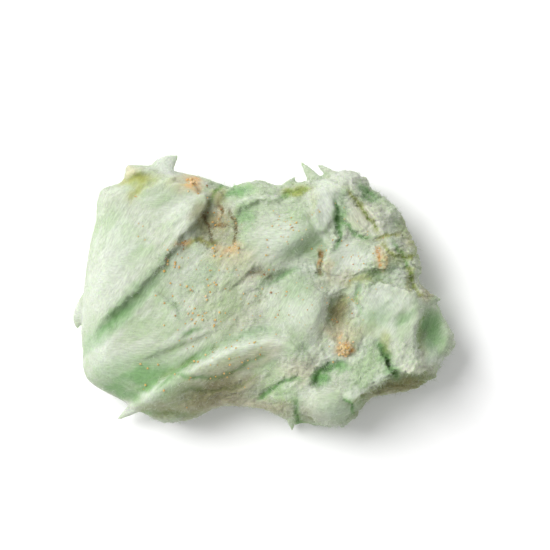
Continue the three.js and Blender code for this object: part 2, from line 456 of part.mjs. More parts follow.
// A row of points, each averaged with its two neighbours. The ends stay.
function smoothedRow(row) {
  return row.map((point, k) => {
    if (k === 0 || k === row.length - 1) return point;
    const sum = new THREE.Vector3().addVectors(row[k - 1], row[k + 1]).addScaledVector(point, ownWeight);
    return sum.divideScalar(2 + ownWeight);
  });
}

const turned = (rows) => rows[0].map((_, k) => rows.map((row) => row[k]));

// The surface over a square of cells, as rows of points, smoothed both ways so that steep steps have no saw teeth.
function surfaceRows() {
  const shares = Array.from({ length: surfaceCells + 1 }, (_, k) => 2 * k / surfaceCells - 1);
  const rows = shares.map((u) => shares.map((v) => {
    const place = bentRound(u, v);
    return skinPoint(place.angle, place.ring);
  }));
  return turned(turned(rows.map(smoothedRow)).map(smoothedRow));
}

// The clump itself: a box whose top takes the surface's points, and whose base is spread flat inside its foot.
function clumpGeometry() {
  const geometry = new THREE.BoxGeometry(2, 2, 2, surfaceCells, surfaceCells, 1);
  const position = geometry.attributes.position;
  const rows = surfaceRows();
  const cellOf = (share) => Math.round((share + 1) / 2 * surfaceCells);
  for (let k = 0; k < position.count; k += 1) {
    const u = position.getX(k);
    const v = position.getY(k);
    if (position.getZ(k) > 0) {
      position.setXYZ(k, ...rows[cellOf(u)][cellOf(v)]);
    } else {
      const { angle, ring } = bentRound(u, v);
      const foot = skinPoint(angle, 1);
      position.setXYZ(k, foot.x * ring, foot.y * ring, foot.z - cutDepth);
    }
  }
  return geometry;
}

// A wisp: a sphere drawn out along a path. Its section is a flat oval that is widest near its root, inside the
// clump, and its width dies out faster than its thickness towards the tip, so that the tip isn't a thin leaf.
function wispGeometry(wisp) {
  const geometry = new THREE.SphereGeometry(1, wispSides, wispSteps);
  const curve = new THREE.CatmullRomCurve3(wisp.path.map((point) => new THREE.Vector3(...point)));
  const position = geometry.attributes.position;
  const up = new THREE.Vector3(0, 0, 1);
  for (let k = 0; k < position.count; k += 1) {
    const point = new THREE.Vector3().fromBufferAttribute(position, k);
    const along = Math.acos(THREE.MathUtils.clamp(point.y, -1, 1)) / Math.PI;
    const tangent = curve.getTangent(along);
    const side = new THREE.Vector3().crossVectors(up, tangent).normalize();
    const face = new THREE.Vector3().crossVectors(tangent, side);
    const centre = curve.getPoint(along);
    const around = Math.hypot(point.x, point.z) || 1;
    const start = Math.min(1, along / 0.2) ** 0.5 / around;
    centre.addScaledVector(side, wisp.width * start * (1 - along) ** 0.8 * point.x);
    centre.addScaledVector(face, wisp.thickness * start * (1 - along) ** 0.45 * point.z);
    position.setXYZ(k, centre.x, centre.y, centre.z);
  }
  return geometry;
}

// The crumbs of one lump: rough little balls half sunk in the crown, spread round its middle.
function crumbGeometries(lump) {
  const draw = drawFrom(lump.seed);
  return Array.from({ length: lump.count }, (_, k) => {
    const size = lump.size * (0.7 + 0.6 * draw());
    const geometry = new THREE.IcosahedronGeometry(size, 0);
    geometry.rotateX(draw() * Math.PI);
    geometry.rotateZ(draw() * Math.PI);
    const angle = k * 2.4;
    const away = lump.spread * Math.sqrt((k + 0.3) / lump.count);
    const spot = crownPoint(lump.at[0] + away * Math.cos(angle), lump.at[1] + away * Math.sin(angle));
    geometry.translate(spot.x, spot.y, spot.z);
    return geometry;
  });
}

const wasm = await Module();
wasm.setup();

let clump = toSolid(wasm, clumpGeometry());
const joined = [...wisps.map(wispGeometry), ...crumbLumps.flatMap(crumbGeometries)];
for (const geometry of joined) clump = clump.add(toSolid(wasm, geometry));
const belowBase = new THREE.BoxGeometry(400, 400, 100).translate(0, 0, -50);
clump = clump.subtract(toSolid(wasm, belowBase));

const result = clump.getMesh();
const geometry = new THREE.BufferGeometry();
geometry.setAttribute('position', new THREE.BufferAttribute(result.vertProperties, 3));
geometry.setIndex(new THREE.BufferAttribute(result.triVerts, 1));
geometry.translate(-middle[0], -middle[1], 0);
geometry.computeVertexNormals();

const sugar = new THREE.MeshStandardMaterial({ color: 0xc8dcc0, roughness: 0.95, metalness: 0 });
const candy = new THREE.Mesh(geometry, sugar);
candy.name = 'cotton_candy';

const model = new THREE.Group();
model.add(candy);

export default model;
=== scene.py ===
import itertools
import math
import bmesh
import bpy
import numpy as np
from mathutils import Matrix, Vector


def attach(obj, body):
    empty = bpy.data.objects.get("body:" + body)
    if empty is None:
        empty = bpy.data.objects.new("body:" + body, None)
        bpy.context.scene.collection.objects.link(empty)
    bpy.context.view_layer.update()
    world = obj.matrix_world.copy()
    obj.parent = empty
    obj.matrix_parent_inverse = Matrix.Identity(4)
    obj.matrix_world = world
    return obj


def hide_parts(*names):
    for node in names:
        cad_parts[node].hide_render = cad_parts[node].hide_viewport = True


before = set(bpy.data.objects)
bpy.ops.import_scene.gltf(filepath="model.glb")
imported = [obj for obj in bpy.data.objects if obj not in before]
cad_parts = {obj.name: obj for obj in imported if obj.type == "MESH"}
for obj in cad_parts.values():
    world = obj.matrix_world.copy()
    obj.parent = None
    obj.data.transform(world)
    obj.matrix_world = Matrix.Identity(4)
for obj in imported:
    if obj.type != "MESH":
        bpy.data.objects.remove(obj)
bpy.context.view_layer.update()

# Cotton candy: one clump of spun sugar. Tables are in millimetres, x to the clump's long end and z up.
mm = 0.001

clump = {
    "middle": (-0.3, -1),  # where the middle of the clump's box lies in the tables
    "crownHeight": 34, "domeRise": 3, "swellRise": 2, "swellSize": 13,
    "plyHeight": 7.5, "plyDepth": 2.6, "plyMiddle": 0.65,  # torn plies on the sides
    "plyWaves": ((1.1, 3, 1), (0.8, 7, 0), (0.4, 13, 2)),  # how they wander: size, times round, start
    "wallRoughness": 1.1, "wallPush": 1.2,
    "topShare": 0.7,  # how much of a ring's way out is crown and shoulder
    "reliefFade": 12,  # relief dies out over this height above the base
    "footReach": 2.2, "footShare": 0.25,  # the skin dips by a share of a fold's rise in front of it
    "pathBlend": 1.2, "pathSteps": 4,
    "crumpleSizes": (3.4, 1.7, 0.8), "crumpleHeights": (0.8, 0.5, 0.28),
    "raggedSizes": (1.6, 0.6, 0.32), "wanders": ((0.75, 1.8), (0.4, 0.7)),  # wanders: reach and size
    "gridCells": 340, "voxel": 0.73,
}

# widest contour from above, counterclockwise from the east end
contour = [
    (75.3, -21.5), (75, -15.5), (71, -8.6), (67, -1.5), (64, 2.5), (61.5, 6), (62.8, 9.5), (58.5, 21.5),
    (52, 34), (43, 41), (37, 47), (28, 47.5), (18, 44.5), (8.5, 42.5), (-3.5, 44), (-14, 42), (-23, 45),
    (-33.5, 47.5), (-44.5, 50), (-52, 50.3), (-54.5, 47.5), (-56, 44), (-62.8, 41.2), (-65, 38.6),
    (-66.5, 28), (-69.7, 12), (-71.7, -8.5), (-71.7, -22), (-69.7, -34.5), (-58.5, -41.8), (-48.5, -47.3),
    (-39.8, -52), (-28.7, -50.3), (-19, -46.3), (-7, -45.4), (2, -47.8), (10.5, -51.8), (19, -52.2),
    (28.5, -53.8), (35.5, -50.3), (42, -42.8), (51.5, -41), (61, -38.4), (68, -33.4), (71.5, -27)]

# direction in degrees, width of the shoulder, height of the widest contour, tuck below it
sections = [
    (0, 16, 17, 13), (45, 12, 19, 12), (90, 8, 20, 14), (135, 10, 21, 12), (180, 11, 18, 12),
    (215, 18, 14, 10), (250, 23, 13, 11), (280, 21, 12, 10), (315, 13, 12, 9), (340, 14, 14, 12)]

# a fold steps up on the left of its path of (x, y, rise): (cliff, back, lip, jag, path)
folds = {
    "leftFlap": (1.6, 13, 1.2, 1.5, [
        (-69.5, -22, 0.8), (-60.5, -10, 1.3), (-49, 1, 1.3), (-38.8, 11, 1.6), (-32.8, 19.5, 2.8),
        (-26, 27.5, 3.6), (-22, 33, 3.6), (-22.8, 38, 2.4), (-28.5, 42, 1.6), (-36, 43.6, 1.2),
        (-43, 42.5, 1.2), (-48.2, 39, 1.2), (-50.5, 34.5, 0.6)]),
    "northRim": (1.8, 8, 0.3, 0.5, [
        (-10, 27, 1), (-9, 31, 2.2), (-5, 33.5, 2.2), (2.5, 35, 1.6), (11, 34.5, 0.5)]),
    "northLobe": (6, 14, 0.4, 0.4, [
        (5.5, 10.5, 0.8), (11, 13.5, 2.4), (16, 16.5, 3.6), (21, 19.5, 3.2), (24, 24.5, 1.2)]),
    "tongue": (1, 8, 0.5, 0.9, [
        (16.5, 44, 0.6), (17, 37, 1.2), (19, 29, 1.7), (22.2, 23.4, 2.2), (25.8, 27, 1.2), (27.5, 33, 0.6),
        (28, 40, 0.4)]),
    "underTongue": (1, 5, 0.4, 0.3, [(22, 22, 0.5), (25, 17.5, 1.3), (28.5, 16.5, 1.3), (30.5, 20, 0.6)]),
    "eastPly": (1, 10, 0.5, 0.4, [(26, 19, 0.8), (23.5, 15.5, 1.8), (22.5, 11, 2), (23, 6, 0.8)]),
    "firstPlate": (0.9, 6, 0.4, 0.5, [(34.5, 38, 0.8), (38.5, 33.5, 1.6), (42, 28.5, 1.8), (44.5, 23, 1)]),
    "secondPlate": (0.9, 5, 0.4, 0.5, [(32, 26.5, 0.8), (36, 22.5, 1.4), (41, 21, 1.4), (45.5, 21.5, 0.6)]),
    "thirdPlate": (0.9, 5, 0.4, 0.6, [(47, 18.5, 0.8), (50, 14.5, 1.5), (55, 12, 1.6), (58.5, 13.5, 0.8)]),
    "fourthPlate": (0.9, 6, 0.4, 0.5, [(54, 12.5, 1), (56.5, 7.5, 2), (59.5, 2.5, 2), (62.5, -0.5, 1)]),
    "fifthPlate": (2.5, 8, 0.3, 0.6, [
        (29, 2.5, 0.6), (35, 5, 1.4), (41, 7, 1.6), (48.5, 8, 1.6), (53, 11, 0.6)]),
    "rightLobe": (1.1, 14, 0.7, 0.6, [
        (67, -1.5, 2), (60, 0.3, 3), (51.5, 2.5, 3.4), (45, 4.5, 3.4), (39, 5, 3.2), (38.6, 1.5, 2.6),
        (36.4, -2.5, 1.8), (38.4, -7, 1.2), (37, -12, 0.5)]),
    "rightBrink": (3.2, 16, 0.4, 0.6, [
        (64, -28.5, 2), (61, -22, 4.8), (60, -16.5, 5.2), (62.5, -9, 4.4), (66.5, -3, 1.5)]),
    "tooth": (1.4, 9, 1, 1, [
        (48, -23, 2), (49.5, -28.5, 4), (55.5, -30.5, 5.5), (61, -31, 6), (69, -28.5, 3)]),
    "tornFlap": (1, 9, 1.6, 1.1, [
        (30, -37, 1.5), (33.5, -41.5, 4.5), (39, -38.5, 5.5), (44.5, -34.5, 5.5), (48.3, -31, 4.5),
        (46.5, -26, 2.6), (44, -20.5, 0.8)]),
    "lowerLeftLobe": (6, 12, 0, 0.4, [
        (-53, -27.5, 0.3), (-41, -23.5, 1), (-28.5, -18.5, 1.2), (-19.5, -14.5, 1), (-9, -11.5, 0.3)]),
    "greenWrinkle": (0.9, 4, 0.3, 0.2, [(-31, -16.5, 0.5), (-27.5, -14.5, 0.9), (-22.5, -12.5, 0.5)]),
    "veil": (1, 8, 0.5, 0.3, [
        (-32, -8.5, 0.3), (-33.2, -6.3, 1), (-36, -3.4, 1.2), (-40, -0.8, 0.8), (-44, 1.5, 0.3)]),
    "middleScarp": (2.4, 8, 0.2, 1.2, [
        (-14, -1, 0.8), (-10, 4.5, 1.8), (-6, 7.5, 2), (-0.5, 9, 1.4), (3.5, 8, 0.6)]),
    "smallScarp": (2, 6, 0.2, 1, [(-0.5, 3.5, 0.6), (3.5, 6, 1.6), (9, 8, 0.6)]),
    "centreLobe": (5, 14, 0, 0.5, [(20.5, -20.5, 1), (23.5, -13, 3), (25.5, -5, 3.4), (27, 1, 1.2)]),
}

# a roll is a rounded ridge: (reach to the left, reach to the right, path of (x, y, rise))
rolls = {
    "longRoll": (3.4, 9.5, [
        (-60, -51, 7), (-54, -47.5, 7), (-46.5, -42.2, 6.6), (-37, -34.5, 6), (-27, -29.5, 5.8),
        (-15.5, -23.5, 6), (-5.5, -20, 6), (3.5, -18.5, 5.4), (11, -21, 4.4), (17, -26.5, 3),
        (20, -33, 1)]),
    "flapEdge": (4, 2.5, [
        (-27, 30.5, 0.6), (-33.5, 21.5, 0.8), (-40.5, 13, 0.6), (-50.5, 2.5, 0.6), (-61.5, -8.5, 0.4)]),
    "earRoll": (2.6, 2.6, [(-54, 46, 1.5), (-48.5, 48, 2.2), (-42, 48.5, 1.5)]),
    "northRoll": (2, 2.4, [(-13, 41.2, 1), (-6, 42.6, 1.8), (3, 41.6, 1.6), (12, 42.4, 1.8), (20, 44, 1)]),
    "lobeRib": (3.4, 1.8, [
        (-51, -26.5, 0.6), (-42, -22.5, 1.1), (-33, -18.8, 1.2), (-24, -15.5, 1), (-15, -11.5, 0.5)]),
    "lobeEdge": (1.2, 2.4, [(38.5, 1, 0.6), (40, 4, 1), (46, 3.3, 1), (52, 1.3, 1), (59, -1, 0.8)]),
    "tornEdge": (1, 2, [(35, -39.5, 0.5), (40, -37, 0.7), (45, -33, 0.8), (47.5, -28, 0.6)]),
}

# creases: (half width, tint of its bottom, path of (x, y, depth)). The green and olive tints along a crease
# are painted shade, the brown ones the bowl's brown and painted shade, the amber the sugar's own colour.
creases = {
    "flapGroove": (3.4, "leaf", [
        (-67.5, -21, 0.8), (-60.5, -13.5, 1.5), (-53, -6, 1.4), (-44, 1.5, 0.7), (-37, 9, 0.4)]),
    "earCrease": (1.6, "oliveShade", [(-54, 43.2, 0.8), (-48, 44.6, 1.4), (-42.5, 45.8, 0.6)]),
    "earFold": (1.3, "oliveShade", [(-52, 34.5, 0.4), (-50, 38, 0.9), (-46, 41, 0.9), (-42, 43, 0.3)]),
    "headCrease": (1.4, "leaf", [(-15.5, 43, 1.2), (-18, 39.5, 2), (-20, 35.5, 1.2)]),
    "northWestRim": (2.4, "leaf", [(-15, 37, 0.8), (-12, 38.7, 1.8), (-7.5, 40, 1.4), (-4.5, 40, 0.4)]),
    "northRim": (2, "leaf", [(6.5, 36.5, 0.8), (11, 39, 2), (17.5, 40.5, 1.6)]),
    "tongue": (1.5, "leaf", [
        (27.2, 37.5, 1), (28.4, 33, 2.2), (28.6, 29, 3.2), (29.2, 24, 3.2), (29.3, 20, 2),
        (26.5, 15, 0.6)]),
    "veil": (1.2, "leaf", [(-36.5, -2.8, 0.2), (-34.2, -4.8, 0.5), (-32.5, -7.4, 0.5), (-31.8, -9, 0.2)]),
    "eastBranch": (1.1, "leaf", [
        (29.5, 29, 2), (32.5, 26, 2), (35.5, 23, 1.6), (38.5, 21.5, 1.6), (41, 22.3, 0.6)]),
    "plateCrack": (1.1, "oliveShade", [
        (31.5, 41, 1), (34.5, 37.2, 2), (37.3, 34, 2.2), (39.5, 31, 3), (42, 27, 3), (44.8, 22.5, 1.4)]),
    "shoulderCrack": (1.2, "leaf", [(38.5, 41, 0.6), (39.5, 37.5, 1.6), (43.5, 35.5, 1)]),
    "lowerPlates": (1.1, "oliveShade", [(43, 20.5, 1), (49, 22.3, 1.6), (53, 23, 0.8)]),
    "starCrack": (1.1, "oliveShade", [(45.5, 20.5, 0.8), (49, 15.8, 2), (54, 13.8, 2.6), (60, 15.5, 1.4)]),
    "crossCrack": (1, "leaf", [(50, 19.5, 0.6), (53.5, 15, 2.2), (56.5, 9, 2.2)]),
    "plyLump": (0.9, "amber", [(44.5, 18, 0.8), (44.2, 14, 1.8), (45, 10, 1)]),
    "eastEdge": (1.3, "oliveShade", [(55.5, 11, 1.6), (57.3, 6, 3), (59.5, 1.5, 2.2), (61, -1, 0.8)]),
    "aboveRightLobe": (1.4, "leaf", [
        (33, 5, 0.4), (38, 7.4, 0.8), (44, 8.4, 1), (49, 9, 0.8), (52, 11, 0.4)]),
    "slot": (1.1, "brownAndShade", [(22.5, 16, 1.4), (21.8, 11.5, 3), (22.2, 7, 1.4)]),
    "eastShoulder": (2, "leaf", [(37, 42.5, 0.6), (40.5, 39.5, 1.6), (45.5, 36, 0.8)]),
    "toothCleft": (2.4, "leaf", [(44, -18, 0.8), (46.2, -22.5, 2.2), (49, -28.5, 3), (52, -34, 2.4)]),
    "greenPocket": (2.4, "leaf", [(20.5, -34.5, 4), (21.8, -31, 4), (26, -28.3, 2.6), (32, -27, 1)]),
    "footFold": (1.4, "leaf", [
        (-3, -43, 1), (1, -39, 2.4), (5, -36, 2.4), (10.5, -33.3, 1.6), (17, -32.5, 0.6)]),
    "footNotch": (2.2, "leaf", [(12.5, -40, 0.8), (13, -46.5, 1.8), (14.5, -52, 1.6)]),
    "tornFlap": (1.5, "leaf", [(31.5, -40.5, 1.4), (34, -43.5, 2.8), (35.5, -47.5, 1)]),
    "rollGroove": (1.5, "leaf", [
        (-37, -32, 0.5), (-30, -31.3, 1.3), (-21, -32.5, 1.3), (-12, -30.5, 1.2), (-3, -25, 0.9),
        (2, -22.3, 0.4)]),
    "rollStreak": (1.3, "leaf", [
        (-34, -37.5, 0.4), (-26, -37, 1.2), (-17, -37.8, 1.2), (-8, -35, 1), (-1, -29.5, 0.4)]),
    "rollFoot": (2.4, "leaf", [(-42, -37, 0.8), (-35, -31.5, 1.2), (-27, -26, 1), (-18, -20.5, 0.5)]),
    "wrinkle": (0.7, "leaf", [(-30.5, -16.6, 0.4), (-27.5, -15, 0.9), (-23, -12.8, 0.3)]),
    "middle": (2.4, "brownAndShade", [(-7, 6.5, 0.4), (-3, 8, 0.9), (0.5, 7.6, 0.8), (3, 6.5, 0.3)]),
    "bowlCrack": (1.4, "brownAndShade", [(-22.8, 31, 1.2), (-21.5, 27, 2.4), (-20.6, 23, 1.8), (-17.5, 17.5, 0.8)]),
    "bowlSide": (1.2, "brownAndShade", [(-13.5, 33.5, 0.8), (-11.2, 28, 1.8), (-10.6, 23, 1.8), (-11.4, 18, 0.8)]),
    "bowlCross": (1, "brownAndShade", [(-20.5, 25.5, 0.8), (-16.5, 26.6, 1.6), (-12, 25.2, 0.8)]),
    "bowlFoot": (1.1, "oliveShade", [(-30, 17.5, 0.8), (-25.5, 20.6, 1.6), (-21, 19.5, 1.2), (-17, 20.5, 0.6)]),
    "bowlTop": (1, "brownAndShade", [(-17.5, 36, 0.8), (-16, 31.5, 1.6), (-17, 27.5, 0.8)]),
    "lobeFoot": (1.6, "leaf", [(37.5, 4.8, 0.4), (36.2, 0, 1), (37, -6, 0.8), (40, -12, 0.3)]),
    "rollStep": (1.8, "leaf", [(-49, -47.5, 0.4), (-40, -46.2, 0.9), (-31, -47.6, 0.7), (-24, -47, 0.3)]),
    "centreFold": (1.2, "leaf", [(1, 2.5, 0.5), (5, 5.2, 1.2), (10, 8, 1.2), (15, 10.5, 0.5)]),
}

# mounds and hollows: (x, y, half width, half length, turn in degrees, height)
mounds = {
    "flapBelly": (-49, 16, 15, 36, -38, 3), "lowerLeft": (-58, -25, 17, 14, -10, 2.4),
    "bowl": (-18, 26, 8, 10, 15, -2.7), "amberLump": (31.6, -21.2, 2.4, 2, 0, 2.6),
    "tornBody": (37, -31, 9, 7, 35, 2.4), "darkCorner": (-23.5, 29, 3, 6, -25, -0.9),
    "northSwell": (0.5, 22, 15, 10, 10, 3.6), "northDrop": (19, 14, 5, 8, 10, -1),
    "tongue": (22.5, 34, 4.5, 11, -4, 0.7), "northEastKnob": (34.5, 43, 8, 6, 0, 2),
    "greenPit": (30.3, 28.5, 1.8, 2.4, 0, -1.4), "shoulderHollow": (40.5, 37, 3.5, 4.5, -30, -1.2),
    "edgeLump": (51, 31, 2.8, 3, 0, 2), "eastHollow": (51.5, 26, 4, 3.5, 30, -1.8),
    "plyLump": (46.3, 13.5, 2.4, 4.6, 0, 1.8), "knob": (40.5, 11, 2.5, 2, 0, 1.6),
    "starHollow": (54.5, 13.5, 2.2, 2.2, 0, -1.6), "edgeRidge": (58.5, 14, 2, 7, 10, 1.4),
    "centreSwell": (13.5, -7.5, 10, 12, 0, 3.4), "pit": (29.5, -7, 4.6, 7.2, -15, -6.2),
    "crumbMound": (32, -18, 6, 5, 20, 2.2), "rightSwell": (44, -3.5, 9, 8, 0, 1.6),
    "rightDimple": (54, -9.5, 3.6, 2.4, 30, -1.2), "rightHollow": (65.5, -14.5, 5.5, 8, 0, -6.5),
    "bottomLobe": (26, -45, 12, 8, 0, 5.5), "footLump": (9, -40.5, 6.5, 5, 20, 1.6),
    "shelf": (53, -36.5, 14, 4.5, 8, -6),
}

# calm places, where the sugar lies smooth: (x, y, half width, half length, turn in degrees)
calm = {
    "flap": (-55, 12, 22, 43, -30), "head": (-36, 33, 15, 11, 10), "lowerLeft": (-48, -27, 29, 18, 20),
    "northLobe": (9, 20, 15, 9, 12), "tongue": (24, 33, 4.5, 11, -4), "centreLobe": (13, -7, 12, 12, 0),
    "rightLobe": (49, -8, 12, 11, 0), "roll": (-10, -26, 26, 6, 22), "bottomLobe": (26, -43, 10, 7, 0),
    "rightHollow": (67, -15, 7, 10, 0), "plate": (37, 29, 4, 4, 0), "eastPly": (32, 14, 7, 5, 20),
}

# wisps: (half width, half thickness, path of (x, y, z) from the root to the tip)
wisps = {
    "ear": (5, 3, [(-56, 36, 24), (-51, 43, 25), (-45, 47.5, 25), (-37, 48.5, 25)]),
    "earPoint": (10.5, 2.6, [(-45, 33, 31), (-41.5, 42, 30), (-38.5, 49.5, 27), (-33.5, 54, 24)]),
    "rimNub": (4.6, 2.4, [(6, 34, 29), (9, 40.5, 26), (12.5, 46, 22)]),
    "firstSpike": (4.4, 2, [(25, 36, 30), (19.5, 45, 24), (14.5, 52, 20)]),
    "secondSpike": (3.8, 1.8, [(34, 40, 30), (27, 46, 26), (20.5, 51, 23)]),
    "leftWisp": (7, 2.4, [(-60, 2, 23), (-68, -4, 20), (-73, -9.5, 17), (-74.5, -14.5, 14)]),
    "lowerLeftWisp": (5.5, 2.4, [(-40, -38, 22), (-49, -44, 15), (-59.5, -51.5, 8)]),
    "bottomPoint": (5, 2.6, [(10, -42, 13), (11, -49.5, 8), (11.5, -56, 5)]),
    "tornLip": (4.5, 1.3, [(33, -35, 31), (40, -34.5, 32.5), (47, -31.5, 32), (52, -30, 30)]),
    "toothLip": (4.5, 1.8, [(49, -24, 29), (55, -29, 28), (62, -30, 25), (69, -28, 20)]),
    "eastNub": (3, 2, [(60, -1, 25), (66, -2, 22), (70.5, -3, 19)]),
    "lowerEastNub": (3, 2, [(61, -26, 20), (67, -28.5, 17), (71, -30, 15)]),
}


# Smooth step from 0 to 1.
def ease(t):
    t = np.clip(t, 0, 1)
    return t * t * (3 - 2 * t)


# Smooth curve through points: a cubic over each stretch, whose slope at a point is half the way from the
# point before to the point after. The end points are mirrored unless the curve is closed.
def curveThrough(points, count, closed=False):
    points = np.array(points, float)
    total = len(points)
    if closed:
        t = np.linspace(0, total, count, endpoint=False)
        first = np.floor(t).astype(int)
        a, b, c, d = (points[(first + k) % total] for k in (-1, 0, 1, 2))
    else:
        t = np.linspace(0, total - 1, count)
        first = np.minimum(np.floor(t).astype(int), total - 2)
        padded = np.vstack([2 * points[0] - points[1], points, 2 * points[-1] - points[-2]])
        a, b, c, d = (padded[first + k] for k in range(4))
    f = (t - first)[:, None]
    squared, cubed = 2 * a - 5 * b + 4 * c - d, 3 * b - a - 3 * c + d
    return 0.5 * (2 * b + (c - a) * f + squared * f ** 2 + cubed * f ** 3)


# Crumpled noise between about -1 and 1: sines whose arguments are bent by one another.
def crumple(x, y, z, size):
    a, b, c = x / size, y / size, z / size
    return (np.sin(a + 1.9 * np.sin(0.83 * b + 0.7) + 0.6 * c)
            + np.sin(1.31 * b + 1.7 * np.sin(0.91 * c + 1.1 * a + 2) - 0.4 * a)
            + np.sin(1.17 * c + 1.5 * np.sin(1.07 * a - 0.8 * b + 4))) / 3


# Nearest point of a path from above: distance (positive on the left), third value there, share of the path
# passed, and the direction to its left. The last three are averages over the path, with weights that fade as
# exp(-distance / clump["pathBlend"]), so they have no jump between two stretches of the path.
def nearestOnPath(x, y, path):
    steps = clump["pathSteps"] * (len(path) - 1)
    samples = curveThrough(path, steps + 1)
    distance = np.full(x.shape, 1e9)
    value, along, leftX, leftY, total = (np.zeros(x.shape) for _ in range(5))
    for k in range(steps):
        (fromX, fromY, fromValue), (stepX, stepY, stepValue) = samples[k], samples[k + 1] - samples[k]
        length = math.hypot(stepX, stepY)
        share = np.clip(((x - fromX) * stepX + (y - fromY) * stepY) / length ** 2, 0, 1)
        away = np.hypot(x - fromX - share * stepX, y - fromY - share * stepY)
        side = np.where(stepX * (y - fromY) - stepY * (x - fromX) >= 0, 1, -1)
        distance = np.where(away < np.abs(distance), away * side, distance)
        weight = length * np.exp(-away / clump["pathBlend"]) + 1e-300
        value += weight * (fromValue + share * stepValue)
        along += weight * (k + share) / steps
        leftX -= weight * stepY / length
        leftY += weight * stepX / length
        total += weight
    return distance, value / total, along / total, leftX / total, leftY / total


# How much of a fold, roll or crease is there along its path: nought at its ends, all of it over the middle.
def endFade(along):
    return ease(along / 0.15) * ease((1 - along) / 0.15)


# Square of the distance from the middle of an ellipse, which is 1 on the ellipse.
def withinEllipse(x, y, atX, atY, halfX, halfY, turn):
    cos, sin = math.cos(math.radians(turn)), math.sin(math.radians(turn))
    u = ((x - atX) * cos + (y - atY) * sin) / halfX
    v = ((y - atY) * cos - (x - atX) * sin) / halfY
    return u * u + v * v


roughness = {"everywhere": 0.75, "east": 0.2, "eastFrom": -10, "eastWidth": 35, "bowl": 0.4,
             "bowlPlace": (-18, 24, 12, 10, 0), "calmShare": 0.85}


# How crumpled the surface is: a value for everywhere, with more to the east and in the bowl, times a share
# that is small in the calm ellipses.
def roughnessAt(x, y):
    east = ease((x - roughness["eastFrom"]) / roughness["eastWidth"])
    bowl = np.exp(-withinEllipse(x, y, *roughness["bowlPlace"]))
    rest = np.ones(x.shape)
    for place in calm.values():
        rest = np.minimum(rest, 1 - roughness["calmShare"] * np.exp(-withinEllipse(x, y, *place) ** 2))
    return (roughness["everywhere"] + roughness["east"] * east + roughness["bowl"] * bowl) * rest


# How far the bottom of a crease wanders to either side of its path: a wide and a narrow crumple together.
def wanderAt(x, y):
    return sum(reach * crumple(x, y, 0, size) for reach, size in clump["wanders"])


# Relief over a place: each fold is a smooth step up on the left of its path that dies out behind it and
# leans out over its foot, each roll a rounded ridge and each crease a valley along its path, each mound a
# dome on an ellipse.
def reliefAt(x, y):
    shiftX, shiftY, rise = (np.zeros(x.shape) for _ in range(3))
    coarse, medium, fine = clump["raggedSizes"]
    ragged = crumple(x, y, 0, coarse) + 0.7 * crumple(y, x, 3, medium) + 0.5 * crumple(x, y, 9, fine)
    for cliff, back, lip, jag, path in folds.values():
        distance, value, along, leftX, leftY = nearestOnPath(x, y, path)
        distance = distance + jag * ragged
        fade = endFade(along)
        step = ease(distance / cliff)
        behind = 1 - ease((distance - cliff) / back)
        foot = np.where(distance < 0, np.exp(-(distance / clump["footReach"]) ** 2), 0)
        rise += value * fade * (step * behind - clump["footShare"] * foot)
        lean = lip * fade * step * (1 - ease((distance - cliff) / (2.5 * cliff)))
        shiftX -= leftX * lean
        shiftY -= leftY * lean
    for reachLeft, reachRight, path in rolls.values():
        distance, value, along, _, _ = nearestOnPath(x, y, path)
        away = distance / np.where(distance > 0, reachLeft, reachRight)
        rise += value * endFade(along) * np.clip(1 - away ** 2, 0, 1) ** 1.5
    wander = wanderAt(x, y)
    for width, _, path in creases.values():
        distance, value, along, _, _ = nearestOnPath(x, y, path)
        rise -= value * endFade(along) * np.clip(1 - np.abs(distance + wander) / width, 0, 1) ** 1.2
    for *place, height in mounds.values():
        rise += height * np.clip(1 - withinEllipse(x, y, *place) / 1.6, 0, 1) ** 1.3
    return shiftX, shiftY, rise


# Distance to the widest contour in a direction, read from the closed curve through its points.
def reachAt(angle):
    edge = curveThrough(contour, 1440, closed=True)
    edgeAngle = np.mod(np.arctan2(edge[:, 1], edge[:, 0]), 2 * np.pi)
    order = np.argsort(edgeAngle)
    return np.interp(angle, edgeAngle[order], np.hypot(edge[:, 0], edge[:, 1])[order], period=2 * np.pi)


